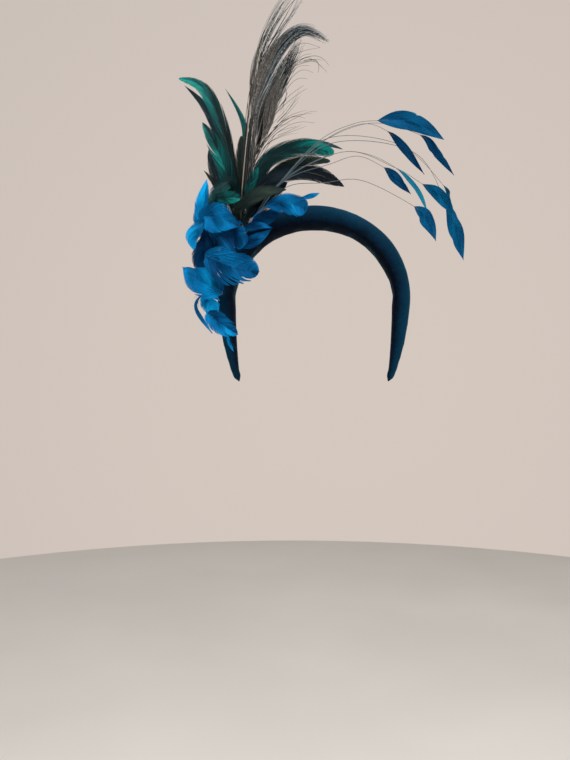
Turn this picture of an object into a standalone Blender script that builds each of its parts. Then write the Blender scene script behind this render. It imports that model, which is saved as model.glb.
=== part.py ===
"""A feather fascinator on a padded velvet halo band.

Sizes are in millimetres and are turned into metres when a mesh is built. The origin is the inner top of
the band, where it sits on the crown. +Z is up, the wearer faces -Y, and the feathers are mounted on the
wearer's right, at -X. A foot on the band is given by its share of the way from the crown (0) to the
band's end (1) on that side, and by its depth, negative towards the front.
"""
import math
from dataclasses import dataclass

import bmesh
import bpy
import numpy as np

MM = 0.001
SIDE = -1.0                      # the feathers are on the -X side

# The band's inner line: a quarter ellipse from crown to temple, then a leg that closes in a little
TEMPLE_HALF_WIDTH = 79.0
TEMPLE_DROP = 74.0
END_DROP = 147.0
END_HALF_WIDTH = 70.0
ARC_SHARE = 0.62                 # share of the way at which the temple lies

# The padded roll: share of the way, thickness of the padding, half of its depth front to back
ROLL_SHARES = (0.0, 0.35, 0.62, 0.80, 1.0)
ROLL_THICKNESS = (24.0, 22.0, 17.5, 13.5, 9.5)
ROLL_HALF_DEPTH = (19.0, 18.5, 16.0, 13.0, 8.5)
ROLL_BASE_SHARE = 0.28           # height of the roll's widest line, as a share of its thickness
ROLL_BASE_POWER = 0.45           # a small power gives the flat underside its square corner
ROLL_DOME_POWER = 0.90
BAND_STATIONS = 32
BAND_RING = 20
END_ROUNDING = (0.45, 0.75, 0.93)
VELVET_COLOUR = (0.0, 0.035, 0.075)
VELVET_ROUGHNESS = 0.8

# The feathers' quills and tips
FOOT_LIFT = 0.9                  # from the velvet to the middle of a quill's foot
QUILL_HALF_WIDTH = 0.8
QUILL_FLATNESS = 0.9             # a quill's thickness as a share of its width
STEM_HALF_WIDTH = 0.55
TIP_HALF_WIDTH = 0.35
TIP_HALF_THICKNESS = 0.25

# Fineness of the curves before they are cut into even steps
SLOPE_STEP = 0.004               # share of the way over which the band's direction is taken
CURVE_STEPS = 24                 # steps in each stretch of a quill's curve


@dataclass(frozen=True)
class Feather:
    """One feather: a quill from the band to the start of its vane, then the vane to its tip."""
    name: str
    foot: tuple                  # share of the way along the band, depth
    way: tuple                   # points that the quill runs through after the foot
    width: float                 # of the vane at its widest
    widest: float = 0.5          # share of the vane at which it is widest
    point: float = 0.75          # power of the narrowing to the tip, small for a blunt tip
    roll: float = 0.0            # degrees that the vane is turned about its quill
    cup: float = 0.10            # hollow of the vane, as a share of its half width
    vane_from: int = 1           # which point of the way starts the vane, counted from the foot


@dataclass(frozen=True)
class Kind:
    """What the feathers of one kind share."""
    colour: tuple
    roughness: float
    half_thickness: float        # of the vane
    bulk: float                  # the same as a share of the vane's half width, where that is more
    half_quill: float
    rise: float                  # power of the vane's widening from the quill, small for a sudden one
    sections: int
    across: int                  # faces across the vane


GOOSE = Kind((0.005, 0.19, 0.50), 0.55, 0.50, 0.0, QUILL_HALF_WIDTH, 0.7, 11, 4)
COQUE = Kind((0.004, 0.075, 0.070), 0.35, 0.50, 0.0, QUILL_HALF_WIDTH, 0.55, 12, 4)
HERL = Kind((0.040, 0.042, 0.040), 0.60, 0.60, 0.22, 0.90, 0.7, 10, 3)
STEM = Kind((0.006, 0.12, 0.32), 0.50, 0.50, 0.0, STEM_HALF_WIDTH, 0.8, 20, 3)

GOOSE_PETALS = (
    Feather("goose_petal_upright", (0.40, -6), ((-107, -24, 0), (-105, -27, 22), (-102, -28, 44)),
            15, 0.35, 0.9, -20),
    Feather("goose_petal_small_left", (0.44, -1), ((-107, -12, 0), (-113, -12, 9), (-114, -12, 22)),
            13, 0.6, 0.4, -35),
    Feather("goose_petal_behind", (0.38, 2), ((-105, -8, 4), (-101, -9, 22), (-97, -10, 40)), 13, 0.5, 0.5),
    Feather("goose_petal_top", (0.41, -14), ((-103, -39, 2), (-89, -47, 2), (-69, -50, -5)),
            29, 0.40, 0.8, cup=0.22),
    Feather("goose_petal_middle", (0.45, -13), ((-94, -32, -16), (-77, -38, -15), (-60, -42, -20)),
            34, 0.6, 0.4),
    Feather("goose_petal_curled", (0.47, -7), ((-104, -30, 1), (-111, -34, -12), (-113, -36, -26)),
            20, 0.55, 0.5, 45),
    Feather("goose_petal_fold", (0.52, -3), ((-104, -22, -12), (-105, -24, -32), (-105, -25, -50)),
            17, 0.5, 0.5, 40),
    Feather("goose_petal_large", (0.52, -14), ((-101, -42, -33), (-76, -50, -43), (-48, -52, -47)),
            36, 0.50, 0.4),
    Feather("goose_petal_outer", (0.59, -12), ((-86, -34, -66), (-103, -44, -58), (-122, -40, -44)),
            27, 0.45, 0.6),
    Feather("goose_petal_bright", (0.63, -12), ((-104, -27, -67), (-98, -31, -77), (-92, -31, -86)),
            18, 0.5, 0.6),
    Feather("goose_biot_loop", (0.62, -6), ((-107, -26, -69), (-113, -26, -81), (-98, -22, -105)), 4),
    Feather("goose_biot_hanging", (0.63, -1), ((-106, -18, -69), (-103, -16, -85), (-100, -12, -101)), 4),
    Feather("goose_petal_low", (0.70, -10), ((-99, -39, -87), (-85, -45, -98), (-70, -46, -107)),
            20, 0.5, 0.5),
    Feather("goose_biot_low", (0.76, -7), ((-83, -28, -106), (-80, -28, -115), (-76, -28, -123)), 3.5),
    Feather("goose_petal_front_top", (0.31, -17), ((-59, -33, 1), (-43, -38, 14), (-23, -43, 15), (-4, -43, 9)),
            21, 0.6, 0.4, vane_from=2),
    Feather("goose_petal_front_dark", (0.29, -14), ((-59, -24, 0), (-44, -28, 6), (-31, -28, 12)),
            15, 0.5, 0.6),
    Feather("goose_finger_upper", (0.33, -15), ((-66, -32, -7), (-50, -38, -4), (-37, -40, -7)),
            9, 0.4, 0.9),
    Feather("goose_finger_lower", (0.37, -14), ((-68, -34, -23), (-51, -40, -17), (-38, -42, -9)),
            12, 0.4, 0.9),
)

COQUE_FEATHERS = (
    Feather("coque_left_tall", (0.36, 1),
            ((-74, 0, 18), (-80, -3, 52), (-87, -8, 89), (-101, -16, 124), (-130, -24, 145)), 15, 0.45, 0.9, 15),
    Feather("coque_left_dark", (0.37, 5),
            ((-76, 4, 18), (-85, 8, 62), (-96, 14, 99), (-113, 20, 133), (-137, 28, 160)), 14, 0.45, 0.9, -20),
    Feather("coque_left_wide", (0.38, -5),
            ((-80, -9, 20), (-85, -18, 54), (-95, -26, 79), (-106, -30, 99)), 19, 0.5, 0.7, 20),
    Feather("coque_left_downy", (0.40, 9), ((-83, 9, 22), (-96, 14, 49), (-106, 20, 72), (-111, 26, 91)),
            15, roll=-25),
    Feather("coque_sickle", (0.34, 9), ((-72, 12, 40), (-71, 19, 82), (-74, 26, 118), (-95, 38, 159)),
            7, 0.4, 0.9),
    Feather("coque_short_round", (0.35, 5), ((-72, 7, 26), (-74, 13, 66), (-75, 19, 102)), 13, 0.6, 0.5, 15),
    Feather("coque_short_thin", (0.37, 11), ((-78, 12, 38), (-84, 18, 77), (-89, 22, 105)), 6),
    Feather("coque_front_green", (0.35, -9), ((-75, -18, 24), (-78, -27, 40), (-87, -34, 34), (-98, -40, 14)),
            15, 0.6, 0.6),
    Feather("coque_front_lobe", (0.38, -12), ((-90, -43, 17), (-79, -46, 21), (-66, -47, 20)), 13, 0.6, 0.4),
    Feather("coque_right_long", (0.31, -4), ((-63, -7, 22), (-50, -9, 62), (-14, -9, 79), (21, -13, 71)),
            18, 0.6, 0.3, 12),
    Feather("coque_right_back", (0.31, 7), ((-63, 8, 28), (-42, 12, 75), (-5, 18, 92), (30, 28, 88)),
            13, 0.5, 0.8, -25),
    Feather("coque_right_under", (0.30, 0), ((-59, -1, 30), (-29, 1, 64), (17, 2, 68)), 11, 0.6, 0.4),
    Feather("coque_right_black", (0.30, -8), ((-65, -9, 17), (-45, -12, 45), (-7, -14, 53), (31, -24, 35)),
            20, 0.6, 0.75, -12),
    Feather("coque_crossed_barb", (0.32, -10), ((-65, -20, 27), (-58, -23, 43), (-52, -26, 55)), 10),
    Feather("coque_low_black", (0.32, 13), ((-66, 15, 16), (-54, 17, 36), (-27, 14, 51)), 25, 0.45, roll=10),
    Feather("coque_olive_leaf", (0.36, -14), ((-76, -30, 7), (-52, -38, 25), (-23, -44, 28)), 16, roll=-15),
)

QUILL_STEMS = (
    Feather("quill_stem_top", (0.265, -8.6),
            ((-27, -29.5, 43), (9, -30, 79), (40, -30, 93), (63, -28, 96), (94, -26, 95), (126, -22, 78)),
            17, 0.4, 0.8, 15, vane_from=4),
    Feather("quill_stem_upper", (0.265, -11.5),
            ((-28, -34.5, 40), (12, -38, 75), (48, -40, 89), (72, -40, 81), (88, -42, 63), (105, -44, 39)),
            9, 0.4, 0.8, 45, vane_from=4),
    Feather("quill_stem_far", (0.265, -5.7),
            ((-28, -24.5, 44), (10, -26, 78), (58, -14, 99), (105, -8, 88), (121, -6, 71), (138, -4, 49)),
            9, 0.4, 0.8, 42, vane_from=4),
    Feather("quill_stem_inner", (0.265, -12.9),
            ((-27, -37.5, 37), (18, -44, 51), (44, -46, 57), (68, -48, 45), (79, -50, 34), (92, -52, 19)),
            9.5, 0.4, 0.8, 35, vane_from=4),
    Feather("quill_stem_teal", (0.265, -10.0),
            ((-26, -32, 40), (22, -35, 63), (52, -36, 62), (80, -38, 47), (97, -38, 29), (108, -38, 7)),
            8.5, 0.5, 0.8, -45, vane_from=4),
    Feather("quill_stem_low", (0.265, -14.4),
            ((-26, -40, 30), (13, -46, 33), (48, -50, 33), (95, -54, 7), (107, -55, -7), (114, -56, -25)),
            12.5, 0.4, 0.8, 20, vane_from=4),
    Feather("quill_stem_right", (0.265, -7.1),
            ((-28, -27, 42), (32, -26, 68), (79, -22, 53), (106, -22, 36), (120, -22, 27), (135, -22, 8)),
            12, 0.5, 0.8, 30, vane_from=4),
    Feather("quill_stem_edge_on", (0.265, -4.2),
            ((-27, -22, 45), (16, -22, 83), (85, -14, 77), (127, -12, 37), (131, -13, 24), (134, -14, 5)),
            8, 0.5, 0.8, 60, vane_from=4),
    Feather("quill_stem_long", (0.265, -2.8),
            ((-27, -19, 46), (23, -18, 80), (99, -6, 72), (131, 2, 24), (141, 6, -2), (149, 8, -32)),
            14, 0.5, 0.8, 20, vane_from=4),
    Feather("quill_stem_sprig", (0.22, -14),
            ((-40, -26, 22), (-26, -32, 26), (-10, -38, 22), (-3, -39, 22), (8, -40, 25)),
            5, 0.5, 0.8, vane_from=3),
)


@dataclass(frozen=True)
class Strip:
    """One strip of herl of a plume, fused to its quill."""
    way: tuple
    width: float
    widest: float = 0.5


PLUMES = {
    "peacock_plume_tall": (
        (0.34, -2),
        Strip(((-72, -4, 14), (-70, -8, 39), (-65, -6, 95), (-59, -2, 144), (-52, 0, 180), (-30, 0, 224),
               (-17, -6, 248)), 13, 0.5),
        (
            Strip(((-62, -5, 105), (-51, -2, 147), (-34, -3, 182), (-10, -10, 196), (16, -20, 178)), 15, 0.4),
        ),
    ),
    "peacock_plume_short": (
        (0.33, 2),
        Strip(((-69, 2, 14), (-64, 3, 41), (-58, 5, 67), (-51, 8, 98), (-46, 12, 128), (-31, 16, 165),
               (-13, 20, 202)), 21, 0.55),
        (
            Strip(((-37, 14, 152), (-22, 14, 170), (2, 10, 175), (15, 4, 158)), 4),
            Strip(((-40, 13, 142), (-29, 10, 147), (-27, 8, 135), (-38, 9, 116)), 4),
            Strip(((-56, 7, 84), (-46, 6, 101), (-25, 2, 119), (-10, -2, 139)), 4.5),
            Strip(((-58, 6, 76), (-46, 4, 97), (-25, 0, 114), (1, -6, 117)), 4.5),
            Strip(((-62, 4, 60), (-53, 1, 81), (-35, -4, 93), (1, -10, 99)), 4.5),
        ),
    ),
}


def inner_line(share):
    """Point (x, z) of the band's inner line: an ellipse's arc, then a leg that bends in as a square law."""
    share = np.asarray(share, float)
    angle = np.clip(share / ARC_SHARE, 0.0, 1.0) * math.pi / 2
    leg = np.clip((share - ARC_SHARE) / (1.0 - ARC_SHARE), 0.0, None)
    x = TEMPLE_HALF_WIDTH * np.sin(angle) - (TEMPLE_HALF_WIDTH - END_HALF_WIDTH) * leg ** 2
    z = TEMPLE_DROP * (np.cos(angle) - 1.0) - (END_DROP - TEMPLE_DROP) * leg
    return x, z


def outward(share):
    """Unit direction (x, z) away from the head at a share of the way."""
    x0, z0 = inner_line(max(share - SLOPE_STEP, 0.0))
    x1, z1 = inner_line(share + SLOPE_STEP)
    along = np.array([x1 - x0, z1 - z0])
    along /= np.linalg.norm(along)
    return np.array([-along[1], along[0]])


def signed_power(value, power):
    """Power of a value's size, with the value's sign."""
    return np.sign(value) * np.abs(value) ** power


def roll_section(share, count):
    """Closed ring (height, depth) round the roll: a dome above its widest line, a flatter base below it."""
    thickness = np.interp(share, ROLL_SHARES, ROLL_THICKNESS)
    half_depth = np.interp(share, ROLL_SHARES, ROLL_HALF_DEPTH)
    angle = np.arange(count) * 2.0 * math.pi / count
    base = ROLL_BASE_SHARE * thickness
    above = base + (thickness - base) * np.abs(np.sin(angle)) ** ROLL_DOME_POWER
    below = base - base * np.abs(np.sin(angle)) ** ROLL_BASE_POWER
    height = np.where(np.sin(angle) >= 0.0, above, below)
    return height, half_depth * signed_power(np.cos(angle), ROLL_DOME_POWER)


def roll_height(share, depth):
    """Height of the roll's dome above the inner line at a depth."""
    thickness = np.interp(share, ROLL_SHARES, ROLL_THICKNESS)
    half_depth = np.interp(share, ROLL_SHARES, ROLL_HALF_DEPTH)
    base = ROLL_BASE_SHARE * thickness
    cosine = min(abs(depth) / half_depth, 1.0) ** (1.0 / ROLL_DOME_POWER)
    return base + (thickness - base) * math.sqrt(1.0 - cosine ** 2) ** ROLL_DOME_POWER


def foot_point(share, depth):
    """Middle of a quill's foot, just clear of the velvet."""
    x, z = inner_line(share)
    away = outward(share)
    height = roll_height(share, depth) + FOOT_LIFT
    return np.array([SIDE * (x + away[0] * height), depth, z + away[1] * height])


def band_rings():
    """Rings of the band from one end over the crown to the other, each end rounded by shrinking rings."""
    shares = np.linspace(-1.0, 1.0, BAND_STATIONS + 1)
    rings = []
    for share in shares:
        way = abs(share)
        hand = 1.0 if share >= 0.0 else -1.0
        x, z = inner_line(way)
        away = outward(way) if way > 1e-6 else np.array([0.0, 1.0])
        height, depth = roll_section(way, BAND_RING)
        rings.append(np.column_stack((hand * (x + away[0] * height), depth, z + away[1] * height)))
    for last, before in ((-1, -2), (0, 1)):
        middle = rings[last].mean(axis=0)
        down = middle - rings[before].mean(axis=0)
        down /= np.linalg.norm(down)
        reach = 0.5 * ROLL_THICKNESS[-1]
        caps = []
        for rise in END_ROUNDING:
            shrink = math.sqrt(1.0 - rise ** 2)
            caps.append(middle + (rings[last] - middle) * shrink + down * reach * rise)
        rings = rings + caps if last == -1 else caps[::-1] + rings
    return rings


def smooth_path(points, count):
    """Points at even steps along a curve through the given ones.

    Each stretch is a cubic whose end slopes are half the step between the neighbours on either side.
    Returns the points and, for each given point, its share of the curve's length.
    """
    points = np.array(points, float)
    slopes = np.gradient(points, axis=0)
    slopes[0] = 1.5 * (points[1] - points[0]) - 0.5 * slopes[1]
    slopes[-1] = 1.5 * (points[-1] - points[-2]) - 0.5 * slopes[-2]
    t = np.linspace(0.0, 1.0, CURVE_STEPS, endpoint=False)[:, None]
    curve = []
    for p0, p1, m0, m1 in zip(points[:-1], points[1:], slopes[:-1], slopes[1:]):
        curve.append((2 * t ** 3 - 3 * t ** 2 + 1) * p0 + (t ** 3 - 2 * t ** 2 + t) * m0
                     + (3 * t ** 2 - 2 * t ** 3) * p1 + (t ** 3 - t ** 2) * m1)
    curve = np.vstack(curve + [points[-1:]])
    length = np.concatenate(([0.0], np.cumsum(np.linalg.norm(np.diff(curve, axis=0), axis=1))))
    at = np.linspace(0.0, 1.0, count) * length[-1]
    path = np.column_stack([np.interp(at, length, curve[:, axis]) for axis in range(3)])
    return path, length[::CURVE_STEPS] / length[-1]


def vane_half_width(vane, feather, kind):
    """Half width at shares of the vane: rises as a sine to its widest, then falls as a power of a cosine."""
    rise = np.sin(np.clip(vane / feather.widest, 0.0, 1.0) * math.pi / 2) ** kind.rise
    fall_angle = np.clip((vane - feather.widest) / (1.0 - feather.widest), 0.0, 1.0) * math.pi / 2
    fall = np.clip(np.cos(fall_angle), 0.0, None) ** feather.point
    least = np.where(vane < feather.widest, kind.half_quill, TIP_HALF_WIDTH)
    return np.maximum(least, 0.5 * feather.width * np.where(vane < feather.widest, rise, fall))


def vane_directions(path, roll):
    """Across and facing directions at each point; the vane faces the front, turned by roll degrees."""
    along = np.gradient(path, axis=0)
    along /= np.linalg.norm(along, axis=1)[:, None]
    facing = np.array([0.0, -1.0, 0.0]) - along * -along[:, 1:2]
    facing /= np.linalg.norm(facing, axis=1)[:, None]
    across = np.cross(facing, along)
    turn = math.radians(roll)
    return (across * math.cos(turn) + facing * math.sin(turn),
            facing * math.cos(turn) - across * math.sin(turn))


def feather_rings(feather, kind, foot):
    """Lens-shaped rings along a feather: a round quill, then a thin hollowed vane."""
    points = ([foot] if foot is not None else []) + list(feather.way)
    path, marks = smooth_path(points, kind.sections)
    vane_start = marks[feather.vane_from] if foot is not None else 0.0
    share = np.linspace(0.0, 1.0, kind.sections)
    vane = np.clip((share - vane_start) / (1.0 - vane_start), 0.0, 1.0)
    half_width = vane_half_width(vane, feather, kind)
    half_thick = np.maximum(kind.half_thickness, kind.bulk * half_width)
    half_thick = np.where(vane > 0.0, half_thick, QUILL_FLATNESS * kind.half_quill)
    half_thick[-1] = TIP_HALF_THICKNESS
    across, facing = vane_directions(path, feather.roll)
    q = np.linspace(-1.0, 1.0, kind.across + 1)
    rings = []
    for point, w_dir, n_dir, width, thick in zip(path, across, facing, half_width, half_thick):
        hollow = feather.cup * width * q ** 2
        lens = thick * np.sqrt(1.0 - q ** 2)
        spread = np.outer(q * width, w_dir)
        front = point + spread + np.outer(hollow + lens, n_dir)
        back = point + spread + np.outer(hollow - lens, n_dir)
        rings.append(np.vstack((front, back[-2:0:-1])))
    return rings


def loft(name, rings):
    """One closed mesh: quads between neighbouring rings and a flat cap on each end."""
    count = len(rings[0])
    points = np.vstack(rings) * MM
    faces = []
    for row in range(len(rings) - 1):
        for at in range(count):
            after = (at + 1) % count
            low, high = row * count, (row + 1) * count
            faces.append((low + at, low + after, high + after, high + at))
    faces.append(tuple(range(count))[::-1])
    faces.append(tuple(range((len(rings) - 1) * count, len(rings) * count)))
    mesh = bpy.data.meshes.new(name)
    mesh.from_pydata([tuple(point) for point in points], [], faces)
    work = bmesh.new()
    work.from_mesh(mesh)
    bmesh.ops.recalc_face_normals(work, faces=work.faces)
    work.to_mesh(mesh)
    work.free()
    mesh.shade_smooth()
    return mesh


def material(name, colour, roughness):
    """Principled finish of one colour, shared by the pieces that name it."""
    finish = bpy.data.materials.get(name)
    if finish is None:
        finish = bpy.data.materials.new(name)
        finish.use_nodes = True
        shader = finish.node_tree.nodes["Principled BSDF"]
        shader.inputs["Base Color"].default_value = (*colour, 1.0)
        shader.inputs["Roughness"].default_value = roughness
        shader.inputs["Metallic"].default_value = 0.0
    return finish


def place(name, mesh, collection, finish):
    """One object of a mesh, in a collection, with its finish."""
    piece = bpy.data.objects.new(name, mesh)
    piece.data.materials.append(finish)
    collection.objects.link(piece)
    return piece


def make_plume(name, foot, quill, strips, parts, cutters):
    """A quill with its herl, and strips of herl fused to it."""
    finish = material("peacock_herl", HERL.colour, HERL.roughness)
    body = Feather(name, foot, quill.way, quill.width, quill.widest)
    plume = place(name, loft(name, feather_rings(body, HERL, foot_point(*foot))), parts, finish)
    for number, strip in enumerate(strips, 1):
        lock_name = f"{name}_strip_{number}"
        shape = Feather(lock_name, foot, strip.way, strip.width, strip.widest)
        lock = place(lock_name, loft(lock_name, feather_rings(shape, HERL, None)), cutters, finish)
        lock.hide_render = True
        lock.display_type = "WIRE"
        fuse = plume.modifiers.new(f"fuse_{number}", "BOOLEAN")
        fuse.operation = "UNION"
        fuse.object = lock


def main():
    for old in list(bpy.data.objects):
        bpy.data.objects.remove(old)
    parts = bpy.data.collections.new("fascinator")
    cutters = bpy.data.collections.new("cutters")
    for collection in (parts, cutters):
        bpy.context.scene.collection.children.link(collection)
    velvet = material("velvet", VELVET_COLOUR, VELVET_ROUGHNESS)
    place("padded_band", loft("padded_band", band_rings()), parts, velvet)
    for kind_name, kind, feathers in (("goose", GOOSE, GOOSE_PETALS), ("coque", COQUE, COQUE_FEATHERS),
                                      ("stripped_quill", STEM, QUILL_STEMS)):
        finish = material(kind_name, kind.colour, kind.roughness)
        for feather in feathers:
            rings = feather_rings(feather, kind, foot_point(*feather.foot))
            place(feather.name, loft(feather.name, rings), parts, finish)
    for name, (foot, quill, strips) in PLUMES.items():
        make_plume(name, foot, quill, strips, parts, cutters)


main()
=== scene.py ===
"""Looks of a feather fascinator on a padded velvet halo band.

The tables are in millimetres, as a milliner would note them, and meshes are made in metres in the part's own
frame: the origin is the inner top of the band, +Z is up, the wearer faces -Y, and the feathers are mounted on
the wearer's right, at -X. A foot on the band is given by its share of the way from the crown (0) to the
band's end (1) on that side, and by its depth, negative towards the front.
"""
import logging
import math
import zlib
from dataclasses import dataclass
from enum import Enum

import bpy
import numpy as np
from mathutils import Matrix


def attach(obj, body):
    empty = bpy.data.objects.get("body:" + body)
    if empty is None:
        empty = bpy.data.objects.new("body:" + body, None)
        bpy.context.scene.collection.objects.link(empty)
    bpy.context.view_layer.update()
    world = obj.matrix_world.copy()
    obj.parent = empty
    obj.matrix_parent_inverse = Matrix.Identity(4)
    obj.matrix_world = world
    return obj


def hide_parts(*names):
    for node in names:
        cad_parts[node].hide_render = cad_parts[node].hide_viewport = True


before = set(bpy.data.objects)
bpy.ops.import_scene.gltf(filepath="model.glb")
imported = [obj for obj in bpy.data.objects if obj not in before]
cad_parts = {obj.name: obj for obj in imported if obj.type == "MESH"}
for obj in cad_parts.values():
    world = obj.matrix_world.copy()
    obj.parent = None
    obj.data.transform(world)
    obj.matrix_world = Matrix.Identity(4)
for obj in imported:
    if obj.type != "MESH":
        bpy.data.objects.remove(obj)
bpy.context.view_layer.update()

MM = 0.001
BODY = "root"
Array = np.ndarray
FRONT = np.array([0.0, -1.0, 0.0])
log = logging.getLogger("fascinator")


# Shapes by formula

def unit(vectors: Array) -> Array:
    """Vectors of length one, along the last axis."""
    return vectors / np.maximum(np.linalg.norm(vectors, axis=-1, keepdims=True), 1e-9)


def draws(name: str) -> np.random.Generator:
    """Random draws that are the same each run for a piece of this name."""
    return np.random.default_rng(zlib.crc32(name.encode()))


def smooth_path(points: Array, count: int) -> tuple[Array, Array]:
    """Evenly spaced points along a curve through the given ones.

    Each stretch is a cubic whose end slopes are half the step between the neighbours on either side.

    Args:
        points: The points that the curve runs through, in millimetres.
        count: How many points to return.

    Returns:
        The points, and each given point's share of the curve's length.
    """
    slopes = np.gradient(points, axis=0)
    slopes[0] = 1.5 * (points[1] - points[0]) - 0.5 * slopes[1]
    slopes[-1] = 1.5 * (points[-1] - points[-2]) - 0.5 * slopes[-2]
    steps = 24
    t = np.linspace(0.0, 1.0, steps, endpoint=False)[None, :, None]
    p0, p1, m0, m1 = points[:-1, None], points[1:, None], slopes[:-1, None], slopes[1:, None]
    curve = ((2 * t ** 3 - 3 * t ** 2 + 1) * p0 + (t ** 3 - 2 * t ** 2 + t) * m0
             + (3 * t ** 2 - 2 * t ** 3) * p1 + (t ** 3 - t ** 2) * m1)
    curve = np.vstack((curve.reshape(-1, 3), points[-1:]))
    length = np.concatenate(([0.0], np.cumsum(np.linalg.norm(np.diff(curve, axis=0), axis=1))))
    at = np.linspace(0.0, 1.0, count) * length[-1]
    path = np.stack([np.interp(at, length, curve[:, axis]) for axis in range(3)], axis=-1)
    return path, length[::steps] / length[-1]


def swelling(share: Array, widest: float, rise: float, fall: float) -> Array:
    """How a width grows and shrinks: up as a sine's power to the widest, then down as a cosine's power.

    Args:
        share: Shares of the length.
        widest: Share at which it is widest.
        rise: Power of the sine, small for a sudden widening.
        fall: Power of the cosine, small for a blunt end.

    Returns:
        Shares of the greatest width.
    """
    grow = np.sin(np.clip(share / widest, 0.0, 1.0) * math.pi / 2) ** rise
    angle = np.clip((share - widest) / (1.0 - widest), 0.0, 1.0) * math.pi / 2
    return np.where(share < widest, grow, np.clip(np.cos(angle), 0.0, None) ** fall)


def room_beside(lines: Array) -> Array:
    """Room between neighbouring lines, square to their own direction.

    Args:
        lines: Points over lines that lie side by side, then over stations.

    Returns:
        The room at each station to the line before; the last two lines have the same.
    """
    direction = unit(np.gradient(lines, axis=1))[1:]
    step = np.diff(lines, axis=0)
    space = np.linalg.norm(step - direction * (step * direction).sum(-1, keepdims=True), axis=-1)
    return np.vstack((space, space[-1:]))


def skin(rings: Array) -> Array:
    """Quads between neighbouring rings, and a row of quads from side to side that closes each end.

    Args:
        rings: The points' numbers, over strands, then over rings, then round a ring.

    Returns:
        The quads.
    """
    low, high = rings[:, :-1], rings[:, 1:]
    quads = [np.stack((low, np.roll(low, -1, 2), np.roll(high, -1, 2), high), -1).reshape(-1, 4)]
    sides = rings.shape[2]
    for step in range(sides // 2 - 1):
        corners = (step, step + 1, sides - 2 - step, sides - 1 - step)
        quads += [rings[:, -1, corners], rings[:, 0, corners[::-1]]]
    return np.vstack(quads)


class Spine:
    """A quill's curve, with the directions across its vane and out of its face carried along it."""

    SAMPLES = 160

    def __init__(self, points: Array, roll: float) -> None:
        """Runs the curve and carries the directions along it.

        Args:
            points: What the quill runs through, in millimetres.
            roll: Degrees that the vane, which otherwise faces the front, is turned about the quill.
        """
        self.path, self.marks = smooth_path(np.asarray(points, float), self.SAMPLES)
        self.shares = np.linspace(0.0, 1.0, self.SAMPLES)
        self.length = float(np.linalg.norm(np.diff(self.path, axis=0), axis=1).sum())
        along = unit(np.gradient(self.path, axis=0))
        facing = unit(FRONT + along * along[:, 1:2])
        across = np.cross(facing, along)
        turn = math.radians(roll)
        self.across = across * math.cos(turn) + facing * math.sin(turn)
        self.facing = facing * math.cos(turn) - across * math.sin(turn)

    def at(self, share: Array) -> tuple[Array, Array, Array]:
        """The point, the direction across and the facing at any shares of the curve."""
        return tuple(np.stack([np.interp(share, self.shares, table[:, axis]) for axis in range(3)], axis=-1)
                     for table in (self.path, self.across, self.facing))


# Strands: what every feather is made of

@dataclass
class Strands:
    """Many strands of one section, each a closed tapering ribbon or tube.

    The arrays run over strands, then over stations along a strand. Those after the centres may be given
    once for all strands or for all stations.
    """

    centre: Array
    normal: Array
    half_width: Array
    half_thickness: Array
    along: Array                 # share of the way along the feather
    outward: Array | float       # share of the way along the strand
    shade: Array | float         # how light it is
    sides: int = 4
    finish: int = 0              # place of its material among the piece's

    def __post_init__(self) -> None:
        """Spreads what was given once over all strands and stations."""
        for word in ("half_width", "half_thickness", "along", "outward", "shade"):
            setattr(self, word, np.broadcast_to(getattr(self, word), self.centre.shape[:2]))

    def solid(self) -> tuple[Array, Array]:
        """Skin of all the strands.

        A station's ring is an ellipse: centre + across * half_width * cos(a) + normal * half_thickness *
        sin(a), at even steps of a.

        Returns:
            The vertices, in millimetres, and the quads.
        """
        direction = unit(np.gradient(self.centre, axis=1))
        normal = unit(self.normal - direction * (self.normal * direction).sum(-1, keepdims=True))
        across = np.cross(normal, direction)
        angle = np.arange(self.sides) * 2.0 * math.pi / self.sides
        spread = across[:, :, None] * (self.half_width[..., None] * np.cos(angle))[..., None]
        rise = normal[:, :, None] * (self.half_thickness[..., None] * np.sin(angle))[..., None]
        vertices = (self.centre[:, :, None] + spread + rise).reshape(-1, 3)
        return vertices, skin(np.arange(len(vertices)).reshape(*self.centre.shape[:2], self.sides))


def solid_piece(name: str, groups: list[Strands], finishes: list[bpy.types.Material]) -> bpy.types.Object:
    """One mesh object of several groups of strands.

    Args:
        name: The piece's name.
        groups: Its strands, in millimetres; each group's finish is its place in finishes.
        finishes: The piece's materials.

    Returns:
        The object, at the origin, with the attributes along, outward and shade on its points.
    """
    vertices, quads, finish, start = [], [], [], 0
    for group in groups:
        points, faces = group.solid()
        vertices.append(points)
        quads.append(faces + start)
        finish.append(np.full(len(faces), group.finish))
        start += len(points)
    mesh = bpy.data.meshes.new(name)
    mesh.from_pydata(np.vstack(vertices) * MM, [], np.vstack(quads))
    mesh.polygons.foreach_set("material_index", np.concatenate(finish).astype(np.int32))
    for word in ("along", "outward", "shade"):
        values = [np.repeat(getattr(group, word).ravel(), group.sides) for group in groups]
        attribute = mesh.attributes.new(word, "FLOAT", "POINT")
        attribute.data.foreach_set("value", np.concatenate(values).astype(np.float32))
    mesh.shade_smooth()
    piece = bpy.data.objects.new(name, mesh)
    for material in finishes:
        mesh.materials.append(material)
    bpy.context.scene.collection.objects.link(piece)
    return piece


def report(piece: bpy.types.Object, slot: str, *nodes: str) -> bpy.types.Object:
    """Lets a finished piece ride on the body and stand for its nodes, and logs it with its slot.

    Args:
        piece: The piece.
        slot: The material slot that the log names.
        nodes: The solid part's nodes that it stands for, if any.

    Returns:
        The piece.
    """
    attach(piece, BODY)
    if nodes:
        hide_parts(*nodes)
    faces = len(piece.data.polygons)
    log.info("%s: %d faces, slot %s, replaces %s", piece.name, faces, slot, nodes or "nothing")
    return piece


# Finishes

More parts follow.
